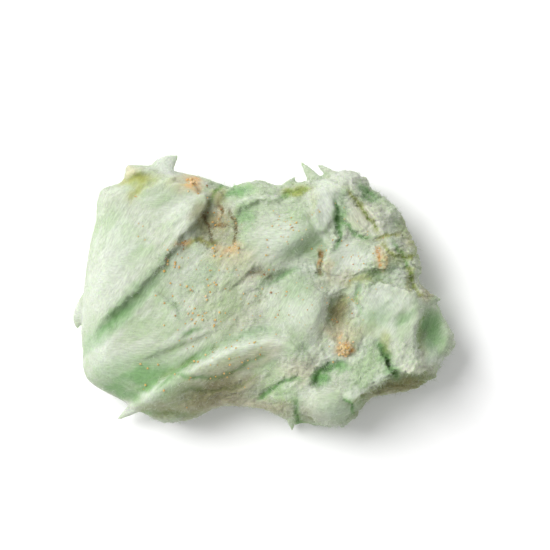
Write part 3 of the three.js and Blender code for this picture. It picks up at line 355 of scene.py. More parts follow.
# The clump in rings round its middle: a quarter circle carries the crown over the shoulder to the widest
# contour, a quarter ellipse tucks the wall in below it, and the relief and crumples are added.
def clumpSurface(angle, ring):
    angle = np.mod(angle, 2 * np.pi)
    reach = reachAt(angle)
    rows = np.array(sections + [(360,) + sections[0][1:]], float)
    shoulder, rim, tuck = (np.interp(angle, np.radians(rows[:, 0]), rows[:, k]) for k in (1, 2, 3))
    out = np.clip(ring / clump["topShare"], 0, 1)
    bend = np.pi / 2 * np.clip((ring - clump["topShare"]) / (1 - clump["topShare"]), 0, 1)
    inward = (1 - out) * reach
    roundOver = np.sqrt(1 - (1 - np.clip(inward / shoulder, 0, 1)) ** 2)
    radius = reach * out - tuck * (1 - np.cos(bend))
    x, y = radius * np.cos(angle), radius * np.sin(angle)
    dome = clump["domeRise"] * (1 - out ** 2)
    swell = dome + clump["swellRise"] * roundOver * crumple(x, y, 0, clump["swellSize"])
    z = (rim + (clump["crownHeight"] - rim) * roundOver + swell) - rim * np.sin(bend)
    shiftX, shiftY, rise = reliefAt(x, y)
    hold = np.cos(bend) ** 2 * ease((z - 2) / clump["reliefFade"])
    x, y, z = x + shiftX * hold, y + shiftY * hold, z + rise * hold
    (large, medium, small), (high, middle, low) = clump["crumpleSizes"], clump["crumpleHeights"]
    rough = np.maximum(roughnessAt(x, y), clump["wallRoughness"] * ease(bend / 0.8))
    bump = rough * (high * crumple(x, y, z, large) + middle * crumple(y, z, x, medium)
                    + low * crumple(z, x, y, small))
    wall = ease(1 - inward / shoulder)
    wavy = sum(size * np.sin(times * angle + start) for size, times, start in clump["plyWaves"])
    ply = np.abs(np.sin(np.pi * z / clump["plyHeight"] + wavy)) - clump["plyMiddle"]
    push = clump["wallPush"] * wall * bump + clump["plyDepth"] * ply * ease(bend / 0.5)
    push *= np.sqrt(np.clip(np.cos(bend), 0, 1))
    x, y, z = x + np.cos(angle) * push, y + np.sin(angle) * push, z + bump * (1 - wall)
    return x, y, np.maximum(z, 0)


# Square grid bent into rings: the ring is the larger side, and the angle runs evenly along it.
def ringGrid(cells):
    u, v = np.meshgrid(np.linspace(-1, 1, cells + 1), np.linspace(-1, 1, cells + 1), indexing="ij")
    ring = np.maximum(np.abs(u), np.abs(v))
    sideways = np.abs(u) >= np.abs(v)
    turn = np.pi / 4 * np.where(sideways, v, u) / np.where(ring > 0, np.where(sideways, u, v), 1)
    cos = np.where(sideways, np.cos(turn), np.sin(turn))
    sin = np.where(sideways, np.sin(turn), np.cos(turn))
    away = np.where(sideways, u, v)
    return np.arctan2(away * sin, away * cos), ring


# Quads between neighbouring points of a grid of rows by columns.
def gridQuads(rows, columns):
    i, j = np.meshgrid(np.arange(rows - 1), np.arange(columns - 1), indexing="ij")
    first = i * columns + j
    return np.stack([first, first + columns, first + columns + 1, first + 1], -1).reshape(-1, 4)


# The clump's points and quads: the surface over the ring grid, and a flat base spread inside its foot.
def clumpShell(cells):
    angle, ring = ringGrid(cells)
    x, y, z = clumpSurface(angle, ring)
    top = np.stack([x, y, z], -1).reshape(-1, 3)
    edgeX, edgeY, _ = clumpSurface(angle, np.ones_like(ring))
    base = np.stack([edgeX * ring, edgeY * ring, 0 * ring], -1).reshape(-1, 3)
    quads = gridQuads(cells + 1, cells + 1)
    return [top, base], [quads, quads[:, ::-1] + len(top)]


# A wisp: an oval section carried along a path, widest near its root. Its width dies out faster than its
# thickness towards the tip, where both end in a point.
def wispShell(width, thickness, path, around=20, steps=24, samples=400):
    t = (1 - np.cos(np.pi * np.linspace(0, 1, steps + 1))) / 2
    dense = curveThrough(path, samples)
    centre = np.stack([np.interp(t, np.linspace(0, 1, samples), dense[:, k]) for k in range(3)], -1)
    tangent = np.gradient(centre, axis=0)
    tangent /= np.linalg.norm(tangent, axis=1, keepdims=True)
    side = np.cross((0, 0, 1), tangent)
    side /= np.linalg.norm(side, axis=1, keepdims=True)
    face = np.cross(tangent, side)
    start = np.minimum(1, t / 0.2) ** 0.5
    half = (width * start * (1 - t) ** 0.8)[:, None, None]
    thick = (thickness * start * (1 - t) ** 0.45)[:, None, None]
    turn = np.linspace(0, 2 * np.pi, around + 1)[None, :, None]
    rows = centre[:, None] + half * np.sin(turn) * side[:, None] + thick * np.cos(turn) * face[:, None]
    return rows.reshape(-1, 3), gridQuads(steps + 1, around + 1)


# From the tables' frame to the scene's: the middle of the box to the origin, and millimetres to metres.
def placed(points):
    return (points - np.array((*clump["middle"], 0))) * mm


# A new object at the origin, with its points and faces in its mesh.
def meshFrom(name, parts, quads):
    data = bpy.data.meshes.new(name)
    data.from_pydata(placed(np.vstack(parts)).tolist(), [], np.vstack(quads).tolist())
    data.update()
    piece = bpy.data.objects.new(name, data)
    bpy.context.scene.collection.objects.link(piece)
    return piece


# Loose scraps of a mesh go: every vertex takes the lowest label near it until none changes, and the part
# whose label most vertices share stays.
def dropScraps(data):
    ends = np.empty(len(data.edges) * 2, np.int32)
    data.edges.foreach_get("vertices", ends)
    first, second = ends.reshape(-1, 2).T
    labels, before = np.arange(len(data.vertices)), None
    while before is None or (labels != before).any():
        before = labels.copy()
        lowest = np.minimum(labels[first], labels[second])
        np.minimum.at(labels, first, lowest)
        np.minimum.at(labels, second, lowest)
        labels = labels[labels]
    scraps = np.flatnonzero(labels != np.bincount(labels).argmax())
    shape = bmesh.new()
    shape.from_mesh(data)
    shape.verts.ensure_lookup_table()
    bmesh.ops.delete(shape, geom=[shape.verts[int(k)] for k in scraps], context="VERTS")
    shape.to_mesh(data)
    shape.free()
    print("scraps dropped:", len(scraps), "vertices")


# The skin: the clump and its wisps as one closed mesh of even squares.
def makeSkin():
    parts, quads = clumpShell(clump["gridCells"])
    for width, thickness, path in wisps.values():
        points, faces = wispShell(width, thickness, path)
        quads.append(faces + sum(len(part) for part in parts))
        parts.append(points)
    piece = meshFrom("candySkin", parts, quads)
    remesh = piece.modifiers.new("evenSkin", "REMESH")
    remesh.mode = "VOXEL"
    remesh.voxel_size = clump["voxel"] * mm
    remesh.use_smooth_shade = True
    bpy.context.view_layer.update()
    evened = bpy.data.meshes.new_from_object(piece.evaluated_get(bpy.context.evaluated_depsgraph_get()))
    piece.modifiers.clear()
    piece.data = evened
    evened.name = "candySkin"
    dropScraps(evened)
    return piece


# grain: which way the spun strands lie, as (x, y, reach, direction in degrees)
grain = [
    (-50, 15, 22, 46), (-55, -25, 16, 20), (-30, -5, 14, 40), (-20, -28, 16, 28), (0, -30, 12, 12),
    (-45, -42, 10, 30), (0, 22, 12, 20), (-15, 38, 10, 10), (15, -8, 9, 70), (25, 33, 7, 100),
    (38, 28, 8, 130), (45, -10, 9, 80), (60, -20, 10, 60), (30, -45, 10, 10), (36, -35, 7, 40),
    (-10, 5, 10, 60), (35, 12, 8, 30), (10, -45, 8, 60)]

woolRelief = {
    "strandSize": 0.42, "strandHeight": 0.11, "fineSize": 0.26, "fineHeight": 0.1,
    "stretch": 5, "directions": 6,
    "calmStrands": 0.3,  # how much of the strands' relief the calmest places keep
    "lumpSizes": (0.45, 0.24), "lumpHeights": (0.17, 0.1), "floorFade": 4, "wispCalm": 0.8, "wispFade": 1.5,
    "riftSizes": (1.5, 0.7), "riftDepths": (0.75, 0.45), "riftWidth": 0.24, "riftStretch": 2.2,
    "tornFrom": 0.45, "tornOver": 0.5,  # roughness at which the surface begins to be torn, and over how much
    "grainReach": 0.35, "grainSize": 6,  # how far the grain wanders, in radians, and over what size
}


# Direction of the strands: each grain spot's direction, weighted by nearness and averaged as doubled angles.
def grainAt(x, y):
    east, north = np.full(x.shape, 0.02), np.zeros(x.shape)
    for atX, atY, reach, direction in grain:
        weight = np.exp(-((x - atX) ** 2 + (y - atY) ** 2) / reach ** 2)
        east += weight * math.cos(2 * math.radians(direction))
        north += weight * math.sin(2 * math.radians(direction))
    wander = crumple(x, y, 0, woolRelief["grainSize"])
    return 0.5 * np.arctan2(north, east) + woolRelief["grainReach"] * wander


# Combed noise: crumples drawn out along fixed directions, blended by how well each follows the grain.
def combed(x, y, z, size, stretch):
    along = grainAt(x, y)
    total, weights = np.zeros(x.shape), np.zeros(x.shape)
    for k in range(woolRelief["directions"]):
        turn = math.pi * k / woolRelief["directions"]
        weight = np.cos(along - turn) ** 8
        u, v = x * math.cos(turn) + y * math.sin(turn), y * math.cos(turn) - x * math.sin(turn)
        total += weight * crumple(u / stretch + 7 * k, v, z, size)
        weights += weight
    return total / weights


# A mesh's points in the tables' frame, and its normals.
def vertexArrays(data):
    points, normals = np.empty(len(data.vertices) * 3), np.empty(len(data.vertices) * 3)
    data.vertices.foreach_get("co", points)
    data.vertex_normals.foreach_get("vector", normals)
    return points.reshape(-1, 3) / mm + np.array((*clump["middle"], 0)), normals.reshape(-1, 3)


# How torn the surface is, from 0 in the calm places to 1 in the roughest.
def tornAt(x, y):
    return np.clip((roughnessAt(x, y) - woolRelief["tornFrom"]) / woolRelief["tornOver"], 0, 1)


# Rifts: thin valleys where combed noise crosses nought, in a coarse and a fine net.
def riftsAt(x, y, z):
    total = np.zeros(x.shape)
    for size, depth in zip(woolRelief["riftSizes"], woolRelief["riftDepths"]):
        net = combed(x + 40, y, 0.3 * z, size, woolRelief["riftStretch"])
        total += depth * np.clip(1 - np.abs(net) / woolRelief["riftWidth"], 0, 1)
    return total


# Woolly relief: the skin moves along its normals by strands, lumps and rifts, less near the base and on the
# wisps.
def addWool(piece):
    points, normals = vertexArrays(piece.data)
    x, y, z = points.T
    wool, rough = woolRelief, roughnessAt(x, y)
    strands = (wool["strandHeight"] * combed(x, y, z, wool["strandSize"], wool["stretch"])
               + wool["fineHeight"] * combed(x, y, z + 9, wool["fineSize"], wool["stretch"]))
    height = (wool["calmStrands"] + (1 - wool["calmStrands"]) * rough) * strands
    height -= tornAt(x, y) * riftsAt(x, y, z)
    for size, lump in zip(wool["lumpSizes"], wool["lumpHeights"]):
        height += lump * rough * crumple(x, y, z, size)
    beyond = np.hypot(x, y) - reachAt(np.mod(np.arctan2(y, x), 2 * np.pi))  # where the wisps lie
    height *= ease(z / wool["floorFade"]) * (1 - wool["wispCalm"] * ease(beyond / wool["wispFade"]))
    moved = points + normals * height[:, None]
    moved[:, 2] = np.maximum(moved[:, 2], 0)
    piece.data.vertices.foreach_set("co", placed(moved).ravel())
    piece.data.update()


skin = makeSkin()
addWool(skin)
print("skin", len(skin.data.polygons), "quads")

heightMap = {"cell": 0.5, "halfX": 84, "halfY": 64, "blur": 3.5, "crannyBlur": 1.1}


# Height of the skin over a grid of cells, each the highest vertex in it, gaps filled from their neighbours.
def makeHeightMap(points):
    cell = heightMap["cell"]
    columns, rows = int(2 * heightMap["halfX"] / cell), int(2 * heightMap["halfY"] / cell)
    heights = np.full((columns, rows), -1.0)
    i = ((points[:, 0] + heightMap["halfX"]) / cell).astype(int)
    j = ((points[:, 1] + heightMap["halfY"]) / cell).astype(int)
    np.maximum.at(heights, (i, j), points[:, 2])
    for _ in range(3):
        near = np.max([np.roll(heights, step, axis) for step in (-1, 1) for axis in (0, 1)], axis=0)
        heights = np.where(heights < 0, near, heights)
    return np.maximum(heights, 0)


# A table's value in the cell below each point.
def lookUp(table, x, y):
    i = ((x + heightMap["halfX"]) / heightMap["cell"]).astype(int)
    j = ((y + heightMap["halfY"]) / heightMap["cell"]).astype(int)
    return table[np.clip(i, 0, table.shape[0] - 1), np.clip(j, 0, table.shape[1] - 1)]


# A table of cells blurred by a bell curve of a width, by multiplying its spectrum.
def blurred(table, width):
    u = np.fft.fftfreq(table.shape[0], heightMap["cell"])[:, None]
    v = np.fft.fftfreq(table.shape[1], heightMap["cell"])[None, :]
    spectrum = np.fft.fft2(table) * np.exp(-2 * (math.pi * width) ** 2 * (u * u + v * v))
    return np.real(np.fft.ifft2(spectrum))


skinPoints, skinNormals = vertexArrays(skin.data)
heights = makeHeightMap(skinPoints)
covered = blurred((heights > 0).astype(float), heightMap["blur"])
surroundings = blurred(heights, heightMap["blur"]) / np.maximum(covered, 0.05)
nearby = blurred(heights, heightMap["crannyBlur"])

# tints of the patches whose colour the folds don't explain, many of them painted shade and highlight:
# (x, y, half width, half length, turn, strength)
tints = {
    # painted shade: dark green in hollows, pockets, grooves and under overhangs
    "leaf": [
        (-54.5, -7.3, 3.8, 25, -45, 0.6), (-43, -35, 7, 2, 38, 0.8), (-47.5, -31.5, 14, 4.4, 12, 0.85),
        (-56, -38, 9, 3.8, -20, 0.8), (-12, -3, 8, 6, 20, 0.2), (-50, -31, 19, 8, 12, 0.45),
        (50, -30, 2.4, 5, 30, 0.8), (-6, -16, 8, 2.4, 20, 0.35), (-9.5, 39.8, 4.6, 2.6, 0, 0.8),
        (-7, 29.5, 3.4, 4.5, -30, 0.6), (13, 39, 6, 2, 15, 0.3), (29.5, 29, 2.6, 6, 0, 0.7),
        (30, 36, 3, 4, 0, 0.35), (22, -32.5, 3.4, 3.2, 0, 1), (28, -28.5, 5.5, 2, 15, 0.9),
        (47, -26, 2.4, 6, 15, 0.6), (65.5, -15, 5.5, 9, 0, 0.8), (40, 38, 3, 3, -30, 0.6),
        (-28, -15, 4, 0.8, 28, 0.7), (57, 27, 4, 5, 0, 0.4), (4, 6, 6, 3, 30, 0.3),
        (3, -38, 6, 1.4, 38, 0.6), (54, -9.5, 4, 2.6, 30, 0.55), (12, -20, 6, 4, 20, 0.3),
        (44, -9, 7, 4, 50, 0.35), (55, -34.5, 12, 4, 5, 0.6), (12, 4, 8, 6, 0, 0.25),
        (-24, 6, 9, 4, 40, 0.2), (45, 9, 9, 4, 20, 0.3), (14, 18, 9, 4, 30, 0.3), (33, -45, 9, 5, 0, 0.25),
        (37, -33, 8, 5, 20, 0.15)],
    # pale sugar, and painted highlight on spots that face the lamp, such as the tongue, the lips, the wisps
    # and the lower left lobe
    "whiteAndHighlight": [
        (23.5, 34, 4.6, 11, -4, 1), (33.5, 44.5, 7, 3, -10, 0.9), (64, -23, 3, 6, 10, 0.7),
        (-38, 50, 6, 6, 0, 1), (44.5, -32.5, 7, 1.8, 40, 0.95), (37, -37.5, 6, 1.6, 20, 0.8),
        (57, -29, 9, 1.6, -2, 0.8), (-52, -45.5, 9, 2.4, 32, 0.8), (-63, -21, 6, 9, 0, 0.9),
        (8, 21, 10, 6, 10, 0.6), (46, -3, 10, 7, 0, 0.7), (-14, -22.5, 17, 2.4, 26, 0.9),
        (-44, -39.5, 9, 1.6, 36, 0.8), (4, -18.5, 8, 2.4, -5, 0.8), (42, 29, 6, 6, 0, 0.8),
        (52, 8, 4, 4, 0, 0.6), (-60, 8, 10, 22, -20, 0.6), (14, -7, 9, 7, 0, 0.5), (35, 14, 6, 6, 0, 0.8),
        (-30, 30, 8, 8, 0, 0.5), (45, -13, 7, 5, 40, 0.6), (69, -27, 2, 2, 0, 1), (28, -45, 8, 4, 0, 0.4),
        (16, 10, 6, 4, 0, 0.4), (-73, -9, 4, 6, 0, 0.8)],
    "cream": [
        (-53, 47.5, 6, 3.4, 0, 0.8), (40, 29, 8, 8, 0, 0.3), (31.5, -21.3, 3.4, 2.8, 0, 0.9),
        (46, 12.5, 3, 5, 0, 0.9), (-12, 14, 9, 5, 0, 0.6), (31, -15, 8, 5, 0, 0.6), (34, 6, 12, 3, 10, 0.4),
        (-30, 42, 7, 4, 0, 0.5), (38, 44, 8, 4, 0, 0.15), (58, 26, 4, 9, 10, 0.55), (64, 3, 3, 7, 0, 0.6),
        (-15, -45, 26, 5, 0, 0.6), (50, -39, 16, 2.6, 10, 0.5), (-13, -4, 12, 12, 0, 0.25),
        (-9, -27, 20, 4, 22, 0.45), (14, -30, 8, 5, 0, 0.4), (-17, -37, 14, 5, 15, 0.4),
        (25, 9, 1.4, 5, 0, 0.7), (60, -30, 10, 3, 0, 0.35), (62, -20, 2, 8, 0, 0.4)],
    # painted shade: olive in folds and cracks
    "oliveShade": [
        (-48.5, 43.8, 7.5, 2.5, 5, 1), (-47.5, 40.5, 6, 1.6, 35, 0.8), (-50.5, 37.5, 1.6, 3, 0, 0.7),
        (13, 39.5, 6, 2, 12, 0.9), (-17, 38, 2.4, 4, 0, 0.5), (19, 34, 1.6, 6, -8, 0.25),
        (57, 6, 1.4, 6, -15, 0.6), (52, 14, 5, 3, 0, 0.4), (33, -3, 4, 2, 20, 0.5), (60, 18, 3, 7, 10, 0.4),
        (36, 5, 5, 1.6, 20, 0.5), (47, -19, 2, 5, 10, 0.5), (42, -14, 3, 3, 0, 0.25)],
    "amber": [
        (-27.8, 43.2, 3.8, 3.2, 0, 1), (31.8, -21.3, 3.2, 2.8, 0, 1), (-13, 16.5, 5, 2.5, 20, 0.45),
        (-31, 19, 3.4, 0.9, 20, 0.7), (21.6, 13, 0.8, 3.5, -5, 0.8), (-17, 29, 3, 5, 0, 0.25),
        (46, 12.5, 1, 4, 0, 0.4), (29, -17, 1.4, 2, 0, 0.5)],
    # the bowl's own brown, and painted shade under the long roll, on the shelf, in the pit and along the
    # bottom
    "brownAndShade": [
        (-22, 27, 5.5, 8.5, 10, 0.85), (-18, 36, 4, 3, 0, 0.7), (-14.5, 25, 5, 8, 0, 0.6),
        (29, -7.5, 4, 6.5, -15, 1), (27, -16, 2, 5, 10, 0.6), (-3, 7.5, 7, 3, 15, 0.4),
        (-29, 18, 5, 1.4, 45, 0.4), (55, -36, 14, 4.2, 6, 1), (-18, -38.5, 17, 7, 16, 0.85),
        (5, -45.5, 7, 4, 0, 0.4), (55, 22, 3, 7, 0, 0.3), (-38, -46, 12, 4, -10, 0.4),
        (16, -48, 6, 4, 0, 0.3), (64, 1, 2, 5, 10, 0.4), (40, -46, 8, 3, 30, 0.4)],
}

tintRules = {
    "wave": 1.5, "waveSize": 1.6,  # how far and over what size the edges of the ellipses wander
    "insideFrom": 0.8, "insideOver": 0.19,  # how well covered the neighbourhood is away from the rim
    # depths at which the painted shade of the hollows and crannies begins and becomes full
    "shallowest": 0.5, "deepest": 3, "crannyFrom": 0.08, "crannyDeep": 0.7,
    "wallFrom": 1, "wallOver": 4, "wallFade": 0.6,  # depth below the edge that the top view shows
    "rimFade": 0.85, "steep": 0.35,  # the ellipses fade near the rim where the skin is steep
    # the olive and brown tints grow stronger in crannies, as painted shade
    "oliveShade": (0.9, 0.4), "brownAndShade": (0.78, 0.7),  # how strong these are, and how much more in crannies
    "streaks": ((0.7, 1.3), (0.45, 0.5)), "streakStretch": 6,
    # lines along the creases by their depth, and painted shade darker still at a deep crease's bottom
    "lineShare": 0.9, "lineDepth": 1.6, "creaseShadeGreenFrom": 1.3, "creaseShadeGreenDepth": 1.6, "creaseShadeBrownDepth": 2,
}

# fine fibres in the finish: noises drawn out along this many directions
fibres = {"directions": 3, "stretch": 5, "scale": 1900, "detail": 4, "contrast": 0.16,
          "low": 0.3, "high": 0.7}


# How strong a tint is: soft ellipses, their edges roughened by crumples.
def tintAt(x, y, spots):
    wave, size = tintRules["wave"], tintRules["waveSize"]
    wavyX, wavyY = x + wave * crumple(x, y, 0, size), y + wave * crumple(y, x, 5, size)
    total = np.zeros(x.shape)
    for *place, strength in spots:
        total = np.maximum(total, strength * np.exp(-withinEllipse(wavyX, wavyY, *place) ** 1.5))
    return total


# A number for each vertex, which the materials read by its name.
def setAttribute(data, name, values):
    attribute = data.attributes.new(name, "FLOAT", "POINT")
    attribute.data.foreach_set("value", np.asarray(values, np.float32))


# The creases' tints: a wandering line along each, and a darker one at its bottom where it is deep. The green
# and olive lines and every dark bottom are painted shade; a brown line is the bowl's brown and painted
# shade, an amber line the sugar's own colour.
def tintCreases(strengths, x, y):
    strengths["creaseShadeGreen"], strengths["creaseShadeBrown"] = np.zeros(x.shape), np.zeros(x.shape)
    wander = wanderAt(x, y)
    for width, tint, path in creases.values():
        distance, depth, along, _, _ = nearestOnPath(x, y, path)
        distance = distance + wander
        line = np.exp(-(distance / (0.5 * width + 0.25)) ** 2) * endFade(along)
        line *= np.clip(depth / tintRules["lineDepth"], 0, 1)
        strengths[tint] = np.maximum(strengths[tint], tintRules["lineShare"] * line)
        if tint in ("leaf", "oliveShade"):
            dark, deep = "creaseShadeGreen", (depth - tintRules["creaseShadeGreenFrom"]) / tintRules["creaseShadeGreenDepth"]
        else:
            dark, deep = "creaseShadeBrown", depth / tintRules["creaseShadeBrownDepth"]
        bottom = np.exp(-(distance / (0.22 * width + 0.2)) ** 2) * endFade(along)
        strengths[dark] = np.maximum(strengths[dark], bottom * np.clip(deep, 0, 1))


# Attributes of a mesh: hollows and crannies by depth below their surroundings, which the finish darkens as
# painted shade, how torn the skin is, its streaks, the tints by their ellipses and by the creases, the green
# and olive ones painted shade, the brown ones partly painted shade and the white ones partly painted
# highlight, and how well the grain follows each direction of the fibres. The ellipses fade on the walls,
# which are near the rim and whose normals' z, upward, is small.
def paintTints(data, points, upward):
    x, y, z = points.T
    rules = tintRules
    inside = ease((lookUp(covered, x, y) - rules["insideFrom"]) / rules["insideOver"])
    # painted shade: depth of a narrow crack below the nearby skin, darkened in the finish and strengthening
    # the olive and brown tints
    crannyShade = np.clip((lookUp(nearby, x, y) - z - rules["crannyFrom"]) / rules["crannyDeep"], 0, 1) * inside
    below = lookUp(surroundings, x, y) - z - rules["shallowest"]
    # painted shade: the deeper a vertex lies below its surroundings, the more dark green it takes
    hollowShade = np.clip(below / rules["deepest"], 0, 1) * inside
    wall = ease((lookUp(heights, x, y) - z - rules["wallFrom"]) / rules["wallOver"])
    setAttribute(data, "hollowShade", hollowShade * (1 - wall))
    setAttribute(data, "crannyShade", crannyShade * (1 - wall))
    setAttribute(data, "torn", tornAt(x, y))
    streaks = [share * combed(x, y, z, size, rules["streakStretch"]) for share, size in rules["streaks"]]
    setAttribute(data, "streak", sum(streaks) + 0.5)
    fromAbove = 1 - rules["rimFade"] * (1 - inside) * (1 - ease(upward / rules["steep"]))
    strengths = {name: tintAt(x, y, spots) * fromAbove for name, spots in tints.items()}
    for name in ("oliveShade", "brownAndShade"):
        everywhere, more = rules[name]
        strengths[name] *= np.minimum(everywhere + more * crannyShade, 1)
    tintCreases(strengths, x, y)
    for name, strength in strengths.items():
        setAttribute(data, name, strength * (1 - rules["wallFade"] * wall))
    lie = grainAt(x, y)
    weights = [np.cos(lie - math.pi * k / fibres["directions"]) ** 8 for k in range(fibres["directions"])]
    for k, weight in enumerate(weights):
        setAttribute(data, "fibre" + str(k), weight / sum(weights))


paintTints(skin.data, skinPoints, skinNormals[:, 2])
print("tints painted")

sugarLook = {
    # the dark greens and the olive are painted shade, the dark browns the bowl's brown and painted shade,
    # the whitest pale sugar and painted highlight; pale, mint, cream and amber are the sugar's own colours
    "pale": (0.490, 0.535, 0.425), "mint": (0.375, 0.485, 0.295), "leaf": (0.180, 0.350, 0.135),
    "whiteAndHighlight": (0.600, 0.645, 0.560), "cream": (0.555, 0.505, 0.340), "oliveShade": (0.330, 0.355, 0.085),
    "amber": (0.600, 0.330, 0.110), "brownAndShade": (0.215, 0.175, 0.070), "crannyShade": (0.225, 0.285, 0.105),
    "creaseShadeGreen": (0.075, 0.170, 0.040), "creaseShadeBrown": (0.100, 0.070, 0.026),
    "layers": ("whiteAndHighlight", "cream", "leaf", "oliveShade", "brownAndShade"),  # each covers those before it
    "hollowShadeShare": 0.7, "crannyShadeShare": 0.75, "lineShare": 0.7, "streakShare": 0.45,
    "patches": (45, 3, 0.42, 0.68), "specks": (420, 2, 0.30, 0.52), "sheen": (180, 2, 0.3, 0.7),
    "fine": (800, 5, 0.2, 0.8),  # noises: scale, detail, and the values that become nought and one
    "roughness": (0.75, 1), "specular": 0.1, "bump": 0.7, "bumpDistance": 0.0007, "fibreBump": 0.5,
    "calmBump": 0.35, "subsurface": 0.6, "subsurfaceReach": (0.0018, 0.0024, 0.0013),
}


# Node helpers: each returns the output that the next one reads. This one lays the second colour over
# the first.
def mixColors(tree, factor, first, second):
    node = tree.nodes.new("ShaderNodeMix")
    node.data_type = "RGBA"
    for socket, value in ((node.inputs[0], factor), (node.inputs[6], first), (node.inputs[7], second)):
        if isinstance(value, bpy.types.NodeSocket):
            tree.links.new(value, socket)
        else:
            socket.default_value = (*value, 1) if isinstance(value, tuple) else value
    return node.outputs[2]


# A number that the vertices carry.
def attributeOf(tree, name):
    node = tree.nodes.new("ShaderNodeAttribute")
    node.attribute_name = name
    return node.outputs["Fac"]


# Value from a low to a high one as the input goes from start to end.
def spread(tree, value, start, end, low, high):
    node = tree.nodes.new("ShaderNodeMapRange")
    for socket, number in zip(node.inputs[1:5], (start, end, low, high)):
        socket.default_value = number
    tree.links.new(value, node.inputs["Value"])
    return node.outputs["Result"]


# Noise on Object coordinates, spread so that its low value becomes nought and its high one one.
def noiseOf(tree, scale, detail, low, high):
    place = tree.nodes.new("ShaderNodeTexCoord")
    noise = tree.nodes.new("ShaderNodeTexNoise")
    noise.inputs["Scale"].default_value = scale
    noise.inputs["Detail"].default_value = detail
    tree.links.new(place.outputs["Object"], noise.inputs["Vector"])
    return spread(tree, noise.outputs["Fac"], low, high, 0, 1)


# Two values through one Math node; the second may be a number.
def combined(tree, operation, first, second):
    node = tree.nodes.new("ShaderNodeMath")
    node.operation = operation
    tree.links.new(first, node.inputs[0])
    if isinstance(second, bpy.types.NodeSocket):
        tree.links.new(second, node.inputs[1])
    else:
        node.inputs[1].default_value = second
    return node.outputs[0]


# A colour laid over another by a share of an attribute.
def overlaid(tree, color, attribute, share, tint):
    return mixColors(tree, combined(tree, "MULTIPLY", attributeOf(tree, attribute), share), color, tint)


# Fine relief from a height, tilting the shader's normal.
def addBump(tree, shader, height, strength, distance):
    bump = tree.nodes.new("ShaderNodeBump")
    bump.inputs["Strength"].default_value = strength
    bump.inputs["Distance"].default_value = distance
    tree.links.new(height, bump.inputs["Height"])
    tree.links.new(bump.outputs["Normal"], shader.inputs["Normal"])


# A new material, its node tree and its shader.
def newMaterial(name):
    material = bpy.data.materials.new(name)
    material.use_nodes = True
    return material, material.node_tree, material.node_tree.nodes["Principled BSDF"]


# The fibres' noise: one noise for each direction, drawn out along it and weighted by its attribute.
def fibreNoise(tree):
    place = tree.nodes.new("ShaderNodeTexCoord").outputs["Object"]
    total = None
    for k in range(fibres["directions"]):
        turn = tree.nodes.new("ShaderNodeMapping")
        turn.vector_type = "TEXTURE"
        turn.inputs["Rotation"].default_value = (0, 0, math.pi * k / fibres["directions"])
        turn.inputs["Scale"].default_value = (fibres["stretch"], 1, 1)
        tree.links.new(place, turn.inputs["Vector"])
        noise = tree.nodes.new("ShaderNodeTexNoise")
        noise.inputs["Scale"].default_value = fibres["scale"]
        noise.inputs["Detail"].default_value = fibres["detail"]
        tree.links.new(turn.outputs["Vector"], noise.inputs["Vector"])
        part = combined(tree, "MULTIPLY", noise.outputs["Fac"], attributeOf(tree, "fibre" + str(k)))
        total = part if total is None else combined(tree, "ADD", total, part)
    return total


# The skin's finish: pale and mint in patches and streaks, then painted shade in the hollows and crannies,
# the tints with their painted shade and highlight, painted shade at the dark bottoms of the creases, and the
# amber, with fine fibres in both the colour and the bump.
def spunSugar():
    material, tree, shader = newMaterial("spunSugar")
    look = sugarLook
    color = mixColors(tree, noiseOf(tree, *look["patches"]), look["pale"], look["mint"])
    # mint and white streaks of the sugar itself
    for tint, start, end in (("mint", 0.45, 0.05), ("whiteAndHighlight", 0.55, 0.95)):
        streak = spread(tree, attributeOf(tree, "streak"), start, end, 0, look["streakShare"])
        color = mixColors(tree, streak, color, look[tint])
    # painted shade: dark green in the hollows, by their depth
    color = overlaid(tree, color, "hollowShade", look["hollowShadeShare"], look["leaf"])
    # painted shade: dark olive in the crannies
    color = overlaid(tree, color, "crannyShade", look["crannyShadeShare"], look["crannyShade"])
    # the tints, among them painted shade and painted highlight
    for tint in look["layers"]:
        color = mixColors(tree, attributeOf(tree, tint), color, look[tint])
    # painted shade at the creases' bottoms
    for line in ("creaseShadeGreen", "creaseShadeBrown"):
        color = overlaid(tree, color, line, look["lineShare"], look[line])
    color = overlaid(tree, color, "amber", noiseOf(tree, *look["specks"]), look["amber"])
    fine = fibreNoise(tree)
    light = spread(tree, fine, fibres["low"], fibres["high"], 1 - fibres["contrast"], 1 + fibres["contrast"])
    shine = tree.nodes.new("ShaderNodeHueSaturation")
    tree.links.new(light, shine.inputs["Value"])
    tree.links.new(color, shine.inputs["Color"])
    tree.links.new(shine.outputs["Color"], shader.inputs["Base Color"])
    dull = spread(tree, noiseOf(tree, *look["sheen"]), 0, 1, *look["roughness"])
    tree.links.new(dull, shader.inputs["Roughness"])
    height = combined(tree, "ADD", noiseOf(tree, *look["fine"]),
                      combined(tree, "MULTIPLY", fine, look["fibreBump"]))
    calmer = spread(tree, attributeOf(tree, "torn"), 0, 1, look["calmBump"], 1)
    addBump(tree, shader, combined(tree, "MULTIPLY", height, calmer), look["bump"], look["bumpDistance"])
    shader.inputs["Specular IOR Level"].default_value = look["specular"]
    shader.inputs["Subsurface Weight"].default_value = look["subsurface"]
    shader.inputs["Subsurface Radius"].default_value = look["subsurfaceReach"]
    shader.inputs["Subsurface Scale"].default_value = 1.0
    return material


skin.data.materials.clear()
skin.data.materials.append(spunSugar())
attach(skin, "root")
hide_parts("cotton_candy")


